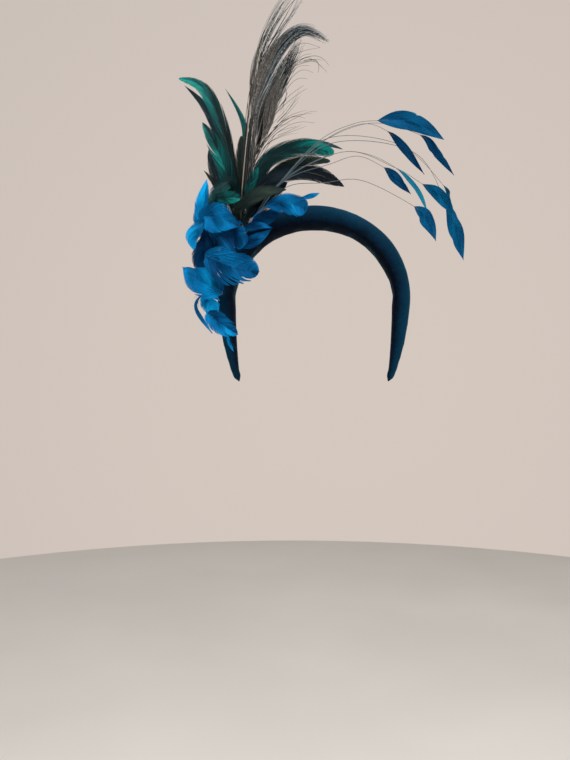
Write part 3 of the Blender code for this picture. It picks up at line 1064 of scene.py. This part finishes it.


# Each petal's tones are partly its dye and partly painted light and shade: petals in shade or tucked under
# others are given deep tones, lit ones light tones.
GOOSE_PETALS = (
    Feather("goose_petal_upright", (0.40, -6), ((-107, -24, 0), (-105, -27, 22), (-102, -28, 44)),
            16, 0.40, 0.9, -20, fold=0.3, tones=(0.45, 0.72, 0.90), lean=0.16),
    Feather("goose_petal_small_left", (0.44, -1), ((-107, -12, 0), (-113, -12, 9), (-114, -12, 22)),
            14, 0.6, 0.4, -35, wave=0.1, tones=(0.35, 0.50, 0.60)),
    Feather("goose_petal_behind", (0.38, 2), ((-104, -8, 4), (-98, -9, 20), (-94, -10, 36)), 18, 0.5, 0.5,
            tones=(0.15, 0.25, 0.32)),
    Feather("goose_petal_top", (0.41, -14), ((-103, -39, 2), (-89, -47, 2), (-67, -50, -7)),
            29, 0.42, 0.9, cup=0.22, fold=-0.15, wave=0.1, tones=(0.45, 0.44, 0.34), lean=-0.05,
            splits=((-1, 0.72, 1.0),), notches=((1, 0.75, 0.18, 0.08), (-1, 0.4, -0.08, 0.1))),
    Feather("goose_petal_middle", (0.45, -13), ((-94, -32, -16), (-77, -38, -15), (-60, -42, -20)),
            35, 0.55, 0.55, wave=0.12, tones=(0.08, 0.12, 0.24), splits=((-1, 0.86, 1.6), (1, 0.8, 1.2)),
            notches=((-1, 0.78, 0.2, 0.05), (1, 0.9, 0.2, 0.05)), wear=1.6),
    Feather("goose_petal_curled", (0.47, -7), ((-104, -30, 1), (-111, -34, -12), (-113, -36, -26)),
            24, 0.48, 0.9, 38, fold=0.22, wave=0.1, tones=(0.42, 0.66, 0.80), lean=-0.1,
            splits=((1, 0.7, 1.2),), wear=1.6),
    Feather("goose_petal_fold", (0.52, -3), ((-104, -22, -12), (-105, -24, -32), (-105, -25, -50)),
            24, 0.45, 0.5, 24, fold=0.3, tones=(0.04, 0.08, 0.14)),
    Feather("goose_petal_tucked", (0.48, -4), ((-104, -20, 10), (-99, -22, -8), (-96, -22, -27)),
            22, 0.5, 0.5, 10, fold=0.3, tones=(0.05, 0.10, 0.16), modelled=False),
    Feather("goose_petal_large", (0.52, -14), ((-101, -42, -33), (-77, -50, -44), (-48, -52, -50)),
            35, 0.52, 0.45, wave=0.10, tones=(0.42, 0.24, 0.44), sweep=1.6, lean=0.05,
            splits=((-1, 0.92, 1.8), (-1, 0.84, 2.0), (-1, 0.74, 1.8), (-1, 0.62, 1.2)),
            notches=((1, 0.55, 0.16, 0.25), (-1, 0.79, 0.10, 0.04), (-1, 0.95, 0.16, 0.03))),
    Feather("goose_petal_outer", (0.59, -12), ((-86, -34, -66), (-103, -44, -58), (-123, -40, -43)),
            29, 0.38, 1.0, fold=0.15, wave=0.1, tones=(0.40, 0.62, 0.40), notches=((-1, 0.8, 0.15, 0.08),),
            splits=((1, 0.5, 1.0),)),
    Feather("goose_petal_bright", (0.63, -12), ((-104, -27, -67), (-98, -31, -77), (-91, -31, -87)),
            19, 0.5, 0.7, tones=(0.80, 1.0, 0.95), splits=((1, 0.7, 1.0),), wear=1.4),
    Feather("goose_biot_loop", (0.62, -6), ((-107, -26, -69), (-113, -26, -81), (-98, -22, -105)), 4),
    Feather("goose_biot_hanging", (0.63, -1), ((-106, -18, -69), (-103, -16, -85), (-100, -12, -101)), 4,
            tones=(0.35, 0.40, 0.55)),
    Feather("goose_petal_low", (0.70, -10), ((-99, -39, -87), (-85, -45, -98), (-69, -46, -108)),
            20, 0.5, 0.6, fold=0.28, tones=(0.40, 0.36, 0.50), lean=-0.14,
            splits=((1, 0.85, 1.4), (-1, 0.88, 1.7)), notches=((1, 0.6, 0.15, 0.06),), wear=1.6),
    Feather("goose_biot_low", (0.76, -7), ((-83, -28, -106), (-80, -28, -115), (-76, -28, -123)), 3.5),
    Feather("goose_petal_front_top", (0.31, -17),
            ((-59, -33, 1), (-43, -38, 14), (-23, -43, 15), (-4, -43, 9)), 21, 0.7, 0.28, vane_from=2,
            wave=0.1, tones=(0.20, 0.36, 0.50), sweep=1.0,
            splits=((-1, 0.88, 0.8), (-1, 0.7, 0.6)), notches=((-1, 0.8, 0.14, 0.04), (-1, 0.5, 0.14, 0.07))),
    Feather("goose_petal_front_dark", (0.29, -14), ((-59, -24, 0), (-44, -28, 6), (-31, -28, 12)),
            15, 0.5, 0.6, tones=(0.05, 0.12, 0.22)),
    Feather("goose_finger_upper", (0.33, -15), ((-66, -32, -7), (-50, -38, -4), (-37, -40, -7)),
            9, 0.4, 0.9, tones=(0.04, 0.10, 0.20)),
    Feather("goose_finger_lower", (0.37, -14), ((-68, -34, -23), (-51, -40, -17), (-38, -42, -9)),
            12, 0.4, 0.9, tones=(0.06, 0.14, 0.26)),
)


def coque(name: str, foot: tuple, way: tuple, width: float, widest: float = 0.5, point: float = 0.75,
          roll: float = 0.0, dye: Dye = Dye.BOTTLE, tones: tuple = (0.3, 0.5, 0.6),
          **more: object) -> Feather:
    """A coque feather: its dye follows its row, and its quill is dark."""
    return Feather(name, foot, way, width, widest, point, roll, tones=tones, dye=dye, bone=Bone.DARK, **more)


# Each coque's tones are partly painted light too: their brightest teal stands for where the light catches
# them.
COQUE_FEATHERS = (
    coque("coque_left_tall", (0.36, 1),
          ((-74, 0, 18), (-80, -3, 52), (-87, -8, 89), (-98, -14, 121), (-110, -19, 139), (-131, -24, 145)),
          15, 0.70, 0.55, 15, tones=(0.12, 0.28, 0.92), lean=0.14),
    coque("coque_left_dark", (0.37, 5),
          ((-76, 4, 18), (-85, 8, 62), (-96, 14, 99), (-113, 20, 133), (-137, 28, 160)), 14, 0.45, 0.9, -20,
          Dye.BLUE_BLACK, (0.3, 0.5, 0.8)),
    coque("coque_left_wide", (0.38, -5),
          ((-80, -9, 20), (-85, -18, 54), (-95, -26, 79), (-106, -30, 99)), 19, 0.5, 0.7, 20,
          tones=(0.20, 0.50, 0.60), lean=0.10, splits=((1, 0.8, 2.0), (-1, 0.6, 1.0))),
    coque("coque_left_downy", (0.40, 9), ((-83, 9, 22), (-96, 14, 49), (-106, 20, 72), (-111, 26, 91)),
          15, roll=-25, dye=Dye.BLUE_BLACK, tones=(0.4, 0.6, 0.75), wear=3.0),
    coque("coque_left_wisp", (0.41, 4), ((-88, 6, 22), (-98, 4, 45), (-111, 2, 62)), 7, roll=10,
          dye=Dye.OLIVE, tones=(0.3, 0.4, 0.5), wear=5.0, modelled=False),
    coque("coque_sickle", (0.34, 9), ((-72, 12, 40), (-71, 19, 82), (-74, 26, 118), (-95, 38, 159)),
          7, 0.4, 0.9, tones=(0.30, 0.75, 0.85)),
    coque("coque_short_round", (0.35, 5), ((-72, 7, 26), (-74, 13, 66), (-75, 19, 102)), 13, 0.6, 0.5, 15,
          Dye.OLIVE, (0.3, 0.5, 0.7)),
    coque("coque_short_thin", (0.37, 11), ((-78, 12, 38), (-84, 18, 77), (-89, 22, 105)), 6, dye=Dye.OLIVE),
    coque("coque_front_green", (0.35, -9), ((-75, -18, 24), (-78, -27, 40), (-87, -34, 34), (-98, -40, 14)),
          15, 0.6, 0.6, tones=(0.25, 0.38, 0.48), wear=1.6),
    coque("coque_front_lobe", (0.38, -12), ((-90, -43, 17), (-79, -46, 21), (-66, -47, 20)), 13, 0.6, 0.4,
          tones=(0.42, 0.58, 0.75), lean=-0.15),
    coque("coque_right_long", (0.31, -4), ((-63, -7, 22), (-50, -9, 62), (-14, -9, 79), (21, -13, 71)),
          18, 0.6, 0.3, 12, tones=(0.14, 0.30, 0.92), lean=0.06),
    coque("coque_right_back", (0.31, 7), ((-63, 8, 28), (-42, 12, 75), (-5, 18, 92), (30, 28, 88)),
          13, 0.5, 0.8, -25, Dye.BLUE_BLACK, (0.4, 0.7, 0.95)),
    coque("coque_right_under", (0.30, 0), ((-59, -1, 30), (-29, 1, 64), (17, 2, 68)), 11, 0.6, 0.4,
          dye=Dye.OLIVE, tones=(0.4, 0.55, 0.8)),
    coque("coque_right_black", (0.30, -8), ((-65, -9, 17), (-45, -12, 45), (-7, -14, 53), (31, -24, 35)),
          20, 0.6, 0.75, -12, Dye.BLUE_BLACK, (0.3, 0.4, 0.3), wear=0.3),
    coque("coque_crossed_barb", (0.32, -10), ((-65, -20, 27), (-58, -23, 43), (-52, -26, 55)), 10,
          tones=(0.4, 0.6, 0.8)),
    coque("coque_low_black", (0.32, 13), ((-66, 15, 16), (-54, 17, 36), (-27, 14, 51)), 25, 0.45, roll=10,
          dye=Dye.BLUE_BLACK, tones=(0.3, 0.4, 0.5)),
    coque("coque_olive_leaf", (0.36, -14), ((-76, -30, 7), (-52, -38, 25), (-23, -44, 28)), 16, roll=-15,
          dye=Dye.OLIVE, tones=(0.35, 0.5, 0.5)),
)


def stem(name: str, depth: float, way: tuple, width: float, widest: float, roll: float,
         dye: Dye = Dye.LEAF, tones: tuple = (0.5, 0.5, 0.55), point: float = 1.1, **more: object) -> Feather:
    """A stripped quill with a leaf cut at its tip; all but the sprig leave the band side by side."""
    return Feather(name, (0.265, depth), way, width, widest, point, roll, vane_from=4, tones=tones, dye=dye,
                   bone=Bone.STRIPPED, **more)


QUILL_STEMS = (
    stem("quill_stem_top", -8.6,
         ((-27, -29.5, 43), (9, -30, 79), (40, -30, 93), (63, -28, 96), (94, -26, 95), (126, -22, 78)),
         17, 0.4, 15, point=0.95, splits=((1, 0.52, 0.5),), notches=((1, 0.52, 0.10, 0.02),)),
    stem("quill_stem_upper", -11.5,
         ((-28, -34.5, 40), (12, -38, 75), (48, -40, 89), (72, -40, 81), (88, -42, 63), (105, -44, 39)),
         9, 0.4, 45, tones=(0.25, 0.35, 0.3)),
    stem("quill_stem_far", -5.7,
         ((-28, -24.5, 44), (10, -26, 78), (58, -14, 99), (105, -8, 88), (121, -6, 71), (138, -4, 49)),
         9, 0.4, 42, tones=(0.3, 0.5, 0.35), notches=((-1, 0.42, 0.18, 0.06), (1, 0.62, 0.16, 0.05))),
    stem("quill_stem_inner", -12.9,
         ((-27, -37.5, 37), (18, -44, 51), (44, -46, 57), (68, -48, 45), (79, -50, 34), (92, -52, 19)),
         9.5, 0.4, 35, tones=(0.35, 0.35, 0.3), notches=((1, 0.66, 0.14, 0.07),)),
    stem("quill_stem_teal", -10.0,
         ((-26, -32, 40), (22, -35, 63), (52, -36, 62), (80, -38, 47), (97, -38, 29), (108, -38, 7)),
         8.5, 0.5, -45, Dye.TEAL_LEAF, point=0.8),
    stem("quill_stem_low", -14.4,
         ((-26, -40, 30), (13, -46, 33), (48, -50, 33), (95, -54, 7), (107, -55, -7), (114, -56, -25)),
         12.5, 0.4, 20, notches=((-1, 0.28, 0.12, 0.08),)),
    stem("quill_stem_right", -7.1,
         ((-28, -27, 42), (32, -26, 68), (79, -22, 53), (106, -22, 36), (120, -22, 27), (135, -22, 8)),
         12, 0.5, 30, tones=(0.6, 0.6, 0.65), point=0.8),
    stem("quill_stem_edge_on", -4.2,
         ((-27, -22, 45), (16, -22, 83), (85, -14, 77), (127, -12, 37), (131, -13, 24), (134, -14, 5)),
         8, 0.5, 60, Dye.TEAL_LEAF, point=0.8),
    stem("quill_stem_long", -2.8,
         ((-27, -19, 46), (23, -18, 80), (99, -6, 72), (131, 2, 24), (141, 6, -2), (149, 8, -32)),
         14, 0.5, 20, notches=((1, 0.30, 0.14, 0.08), (-1, 0.62, 0.16, 0.07))),
    Feather("quill_stem_sprig", (0.22, -14),
            ((-40, -26, 22), (-26, -32, 26), (-10, -38, 22), (-3, -39, 22), (8, -40, 25)),
            5, 0.5, 0.8, vane_from=3, bone=Bone.STRIPPED),
)


# Peacock plumes

@dataclass(frozen=True)
class HerlStrip:
    """A bundle of herl that follows one curve."""

    way: tuple
    width: float
    count: int
    widest: float = 0.5
    low: float = -1.0            # place across of the bundle's left edge
    high: float = 1.0
    leave: tuple = (0.0, 0.6)    # shares of the way at which the herls leave
    reach: tuple = (0.8, 1.0)    # shares at which they end
    flare: float = 2.5           # how far their ends stray
    tone: float = 0.35
    spread: float = 0.2          # how much the herls differ in tone
    rise: float = 0.7            # power of its widening, small for a sudden one
    finish: int = 0
    fall: float = 0.75           # power of its narrowing
    least_half_width: float = 0.5
    stations: int = 22

    def half_width(self, share: Array) -> Array:
        """Half width of the bundle at shares of its curve."""
        half = 0.5 * self.width * swelling(share, self.widest, self.rise, self.fall)
        return np.maximum(self.least_half_width, half)

    def strands(self, spine: Spine, rng: np.random.Generator) -> Strands:
        """The bundle's herls.

        A herl leaves the middle of the bundle and takes its own place across as one less e to the power -5t,
        keeps it as the bundle widens and narrows, and strays as t cubed at its end.

        Args:
            spine: The bundle's curve.
            rng: The plume's random draws.

        Returns:
            The herls, each one strand.
        """
        size = (self.count, 1)
        t = np.linspace(0.0, 1.0, self.stations)[None]
        leave = rng.uniform(*self.leave, size)
        reach = rng.uniform(*self.reach, size)
        share = leave + (reach - leave) * t
        place = rng.uniform(self.low, self.high, size) * (1.0 - np.exp(-5.0 * t))
        half = self.half_width(share)
        point, across, facing = spine.at(share)
        stray = rng.normal(0.0, self.flare, size) * t ** 3
        sway = 0.35 * np.sin(t * rng.uniform(5.0, 11.0, size) + rng.uniform(0.0, 6.0, size)) * t
        depth = rng.normal(0.0, 0.30, size) * np.minimum(half, 4.0) * np.minimum(1.0, 4.0 * t)
        droop = rng.normal(0.0, 0.5 * self.flare, size) * t ** 3
        centre = (point + across * (place * half + stray + sway)[..., None]
                  + facing * (depth + droop)[..., None])
        thin = rng.uniform(0.18, 0.34, size) * (1.0 - 0.75 * t ** 2)
        shade = np.clip(self.tone + rng.normal(0.0, self.spread, size), 0.0, 1.0)
        return Strands(centre, facing, thin, thin, share, t, shade, finish=self.finish)


@dataclass(frozen=True)
class Plume:
    """A peacock plume: its quill, bundles of herl along it or parting from it, and loose herls."""

    name: str
    foot: tuple
    way: tuple
    bundles: tuple
    loose: tuple = ()            # (share of the quill where it leaves, points that it runs through)
    loose_half_width: float = 0.34
    loose_taper: float = 0.7     # share of its width that a loose herl loses
    loose_stations: int = 26
    quill_half_width: float = 0.65
    quill_taper: float = 0.72    # share of its width that the quill loses in its whole length
    quill_end: float = 0.99      # share of the length at which it ends
    quill_proud: float = 2.4     # how far it stands before the herl
    quill_stations: int = 60

    def single(self, spine: Spine, share: float, way: tuple, tone: float) -> Strands:
        """One loose herl, which thins to its end.

        Args:
            spine: The plume's quill.
            share: Share of the quill where it leaves.
            way: Points that it runs through, in millimetres.
            tone: How pale it is, from 0 to 1.

        Returns:
            The herl as one strand.
        """
        root = spine.at(np.array([share]))[0]
        path, _ = smooth_path(np.vstack((root, np.array(way, float))), self.loose_stations)
        t = np.linspace(0.0, 1.0, self.loose_stations)[None]
        thin = self.loose_half_width * (1.0 - self.loose_taper * t)
        return Strands(path[None], FRONT, thin, thin, t, t, tone)

    def quill(self, spine: Spine) -> Strands:
        """The plume's quill, which comes out before the herl over the first sixth of its way.

        Args:
            spine: Its curve.

        Returns:
            The quill as one round strand.
        """
        share = np.linspace(0.0, self.quill_end, self.quill_stations)[None]
        point, _, facing = spine.at(share)
        point = point + facing * self.quill_proud * np.minimum(1.0, 6.0 * share)[..., None]
        half = self.quill_half_width * (1.0 - self.quill_taper * share)
        return Strands(point, facing, half, half, share, 0.0, 0.0, sides=8, finish=2)

    def build(self, finishes: list) -> bpy.types.Object:
        """Makes the plume.

        Args:
            finishes: Materials for brown herl, blue-grey herl and the quill, in this order.

        Returns:
            The plume as one piece that stands for its node.
        """
        rng = draws(self.name)
        spine = Spine(np.vstack((BAND.foot(*self.foot), np.array(self.way, float))), 0.0)
        groups = []
        for bundle in self.bundles:
            curve = Spine(np.array(bundle.way, float), 0.0) if bundle.way else spine
            groups.append(bundle.strands(curve, rng))
        for share, way in self.loose:
            groups.append(self.single(spine, share, way, float(rng.uniform(0.1, 0.5))))
        groups.append(self.quill(spine))
        return report(solid_piece(f"{self.name}_herl", groups, finishes), "peacock_herl", self.name)


BROWN_HERL = HerlFinish("brown_herl", ((0.008, 0.012, 0.013), (0.085, 0.074, 0.065), (0.36, 0.35, 0.33)))
BLUE_HERL = HerlFinish("blue_grey_herl", ((0.007, 0.015, 0.022), (0.042, 0.065, 0.082), (0.32, 0.36, 0.37)))

PLUMES = (
    Plume("peacock_plume_tall", (0.34, -2),
          ((-72, -4, 14), (-70, -8, 39), (-65, -6, 95), (-59, -2, 144), (-52, 0, 180), (-30, 0, 224),
           (-17, -6, 248)),
          (HerlStrip((), 13, 60, 0.55, 0.1, 1.0, (0.42, 0.72), (0.60, 0.86), 1.0, 0.54, 0.10, 1.5),
           HerlStrip((), 11, 20, 0.5, -0.80, -0.3, (0.10, 0.55), (0.55, 0.86), 1.0, 0.06, 0.10, 1.1),
           HerlStrip((), 11, 8, 0.5, 0.3, 0.9, (0.10, 0.40), (0.50, 0.70), 1.0, 0.08, 0.10, 1.1),
           HerlStrip(((-60, 1, 138), (-48, 2, 186), (-26, -1, 222), (-6, -6, 240)), 21, 36, 0.7,
                     leave=(0.0, 0.5), reach=(0.75, 1.0), flare=3.0, tone=0.52, finish=1),
           HerlStrip(((-63, -6, 100), (-55, -6, 140), (-44, -5, 168), (-34, -5, 186), (-22, -8, 196)),
                     12, 110, 0.55, -0.7, 1.0, (0.0, 0.4), (0.6, 1.0), 0.9, 0.56, 0.05),
           HerlStrip(((-62, -1, 105), (-51, 2, 147), (-34, 1, 182), (-10, -6, 196), (16, -16, 178)),
                     15, 150, 0.5, reach=(0.7, 1.0), flare=1.8, tone=0.52, spread=0.26, rise=1.1, finish=1))),
    Plume("peacock_plume_short", (0.33, 2),
          ((-70, 2, 14), (-67, 3, 41), (-63, 5, 67), (-56, 8, 98), (-48, 12, 128), (-31, 16, 165),
           (-13, 20, 202)),
          (HerlStrip((), 23, 120, 0.55, 0.0, 1.0, (0.47, 0.62), (0.66, 0.85), 1.0, 0.54, 0.08, 1.7),
           HerlStrip(((-53, -4, 86), (-46, -2, 104), (-41, 0, 128), (-34, 4, 148), (-28, 8, 160)), 13, 120,
                     0.45, leave=(0.0, 0.35), reach=(0.6, 1.0), flare=0.7, tone=0.54, spread=0.05),
           HerlStrip((), 18, 9, 0.5, 0.2, 1.0, (0.15, 0.35), (0.35, 0.55), 2.0, 0.1, 0.1, 1.2),
           HerlStrip((), 21, 90, 0.55, -1.0, 0.1, (0.30, 0.6), (0.6, 1.0), 1.6, 0.24, 0.38, 1.7),
           HerlStrip((), 23, 110, 0.6, leave=(0.4, 0.8), reach=(0.78, 1.0), tone=0.40, spread=0.42, finish=1),
           HerlStrip(((-68, -7, 20), (-64, -9, 60), (-61, -8, 95), (-56, -5, 128)), 10, 60, 0.5, -1.0, 0.6,
                     (0.0, 0.5), (0.7, 1.0), 1.6, 0.16, 0.45),
           HerlStrip(((-37, 14, 152), (-22, 14, 170), (2, 10, 175), (15, 4, 158)), 6, 4, flare=3.5, tone=0.1),
           HerlStrip(((-40, 13, 142), (-29, 10, 147), (-27, 8, 135), (-38, 9, 116)), 5, 4, flare=3.0,
                     tone=0.1),
           HerlStrip(((-56, 7, 84), (-46, 6, 101), (-25, 2, 119), (-10, -2, 139)), 6, 3, flare=3.5, tone=0.1),
           HerlStrip(((-58, 6, 76), (-46, 4, 97), (-25, 0, 114), (1, -6, 117)), 6, 3, flare=3.5, tone=0.1),
           HerlStrip(((-62, 4, 60), (-53, 1, 81), (-35, -4, 93), (1, -10, 99)), 6, 3, flare=3.5, tone=0.1)),
          ((0.80, ((-34, 15, 166), (-18, 12, 181), (7, 6, 184))),
           (0.84, ((-24, 16, 184), (-12, 12, 192), (7, 6, 184))),
           (0.78, ((-34, 15, 160), (-14, 9, 176), (-2, 6, 178))),
           (0.74, ((-36, 14, 152), (-11, 8, 174), (2, 6, 170), (14, 2, 157))),
           (0.70, ((-36, 12, 142), (-19, 8, 164), (-4, 6, 166))),
           (0.68, ((-38, 12, 138), (-16, 8, 161), (0, 4, 158))),
           (0.64, ((-38, 12, 132), (-20, 8, 152), (-6, 4, 152))),
           (0.55, ((-44, 8, 116), (-26, 4, 134), (-9, 0, 144))),
           (0.53, ((-46, 8, 112), (-25, 4, 130), (-6, -2, 140))),
           (0.42, ((-50, 6, 90), (-35, 4, 107), (-15, 0, 128))),
           (0.40, ((-51, 5, 87), (-33, 3, 104), (-7, -3, 115), (4, -6, 115))),
           (0.38, ((-52, 4, 84), (-39, 2, 102), (-23, 0, 106))),
           (0.35, ((-54, 3, 76), (-40, 0, 94), (-18, -4, 105), (2, -8, 103))),
           (0.33, ((-54, 3, 72), (-43, 0, 88), (-35, -2, 97), (-16, -6, 101))),
           (0.30, ((-56, 3, 66), (-46, 0, 80), (-28, -4, 87), (-12, -6, 86))))),
)


# The room

@dataclass(frozen=True)
class Studio:
    """A plain pale floor, soft light and the camera."""

    distance: float = 700.0      # camera to the origin's plane
    turn: float = 5.0            # degrees that the camera stands to the wearer's left
    shift_right: float = -28.0   # of the camera from the origin
    shift_up: float = -151.0
    lens_share: float = 700.0 / 760.0
    sensor: float = 36.0
    floor_height: float = -770.0
    floor_radius: float = 2000.0
    floor_sides: int = 96
    room_behind: tuple = (0.36, 0.345, 0.335, 1.0)
    room_ahead: tuple = (0.66, 0.575, 0.52, 1.0)
    aim: tuple = (-0.02, 0.0, 0.03)    # where the lights look, in metres
    lights: tuple = (("window", (1.0, -1.2, 1.1), 0.9, 38.0, (1.0, 0.99, 0.97)),
                     ("room_fill", (-1.3, -1.0, 0.5), 1.6, 10.0, (0.94, 0.97, 1.0)),
                     ("top_light", (-0.2, 0.1, 1.2), 0.8, 7.0, (1.0, 1.0, 1.0)))

    def camera(self) -> None:
        """A level camera at the photograph's angle."""
        turn = math.radians(self.turn)
        right = np.array([math.cos(turn), math.sin(turn), 0.0])
        back = np.array([math.sin(turn), -math.cos(turn), 0.0])
        place = back * self.distance + right * self.shift_right + np.array([0.0, 0.0, self.shift_up])
        lens = bpy.data.cameras.new("camera")
        lens.sensor_width = self.sensor
        lens.lens = self.sensor * self.lens_share
        lens.clip_start = 0.01
        camera = bpy.data.objects.new("camera", lens)
        camera.location = place * MM
        camera.rotation_euler = (math.radians(90.0), 0.0, turn)
        bpy.context.scene.collection.objects.link(camera)
        bpy.context.scene.camera = camera

    def floor(self) -> None:
        """A pale matt floor, cut as a circle round the part."""
        sides = self.floor_sides
        angle = np.arange(sides) * 2.0 * math.pi / sides
        rim = np.stack((np.cos(angle), np.sin(angle), np.zeros(sides)), axis=-1) * self.floor_radius
        mesh = bpy.data.meshes.new("floor")
        mesh.from_pydata((rim + np.array([0.0, 0.0, self.floor_height])) * MM, [], [tuple(range(sides))])
        nodes = Nodes("matt_floor")
        colour = nodes.ramp(nodes.noise(2.2), ((0.35, (0.68, 0.655, 0.62)), (0.65, (0.73, 0.70, 0.665))))
        mesh.materials.append(nodes.dress(base_color=colour, roughness=0.9, specular_ior_level=0.1))
        floor = bpy.data.objects.new("floor", mesh)
        bpy.context.scene.collection.objects.link(floor)

    def light(self, name: str, place: tuple, size: float, power: float, colour: tuple) -> None:
        """A square soft light that looks at the feathers.

        Args:
            name: Its name.
            place: Where it stands, in metres.
            size: Its side, in metres.
            power: Its power, in watts.
            colour: Its colour.
        """
        lamp = bpy.data.lights.new(name, "AREA")
        lamp.size = size
        lamp.energy = power
        lamp.color = colour
        holder = bpy.data.objects.new(name, lamp)
        holder.location = place
        aim = np.array(self.aim) - np.array(place)
        flat = math.hypot(aim[0], aim[1])
        holder.rotation_euler = (math.atan2(flat, -aim[2]), 0.0, math.atan2(aim[1], aim[0]) - math.pi / 2)
        bpy.context.scene.collection.objects.link(holder)

    def sky(self) -> None:
        """A plain room all round that also lights the part: rosy beige before it, greyer behind and above."""
        world = bpy.data.worlds.new("room")
        bpy.context.scene.world = world
        world.use_nodes = True
        tree = world.node_tree
        ramp = tree.nodes.new("ShaderNodeValToRGB")
        way = tree.nodes.new("ShaderNodeTexCoord")
        split = tree.nodes.new("ShaderNodeSeparateXYZ")
        tree.links.new(way.outputs["Generated"], split.inputs[0])
        tree.links.new(split.outputs["Y"], ramp.inputs["Fac"])
        tree.links.new(ramp.outputs["Color"], tree.nodes["Background"].inputs["Color"])
        ramp.color_ramp.elements[0].color = self.room_behind
        ramp.color_ramp.elements[1].color = self.room_ahead

    def build(self) -> None:
        """Everything that isn't the part."""
        self.camera()
        self.floor()
        self.sky()
        for light in self.lights:
            self.light(*light)
        bpy.context.scene.view_settings.view_transform = "Standard"


def main() -> None:
    """Builds the room, the band, the feathers and the plumes."""
    logging.basicConfig(level=logging.INFO, format="%(name)s: %(message)s")
    Studio().build()
    BAND.build()
    finishes = {kind: kind.value.material() for kind in (*Dye, *Bone)}
    for feather in GOOSE_PETALS:
        feather.build(GOOSE, "goose_blue", finishes)
    slots = {Dye.BOTTLE: "coque_green", Dye.BLUE_BLACK: "coque_black", Dye.OLIVE: "coque_olive"}
    for feather in COQUE_FEATHERS:
        feather.build(COQUE, slots[feather.dye], finishes)
    for feather in QUILL_STEMS:
        feather.build(LEAF, "stripped_quill", finishes)
    herl = [BROWN_HERL.material(), BLUE_HERL.material(), finishes[Bone.TAN]]
    for plume in PLUMES:
        plume.build(herl)


if __name__ == "__main__":
    main()
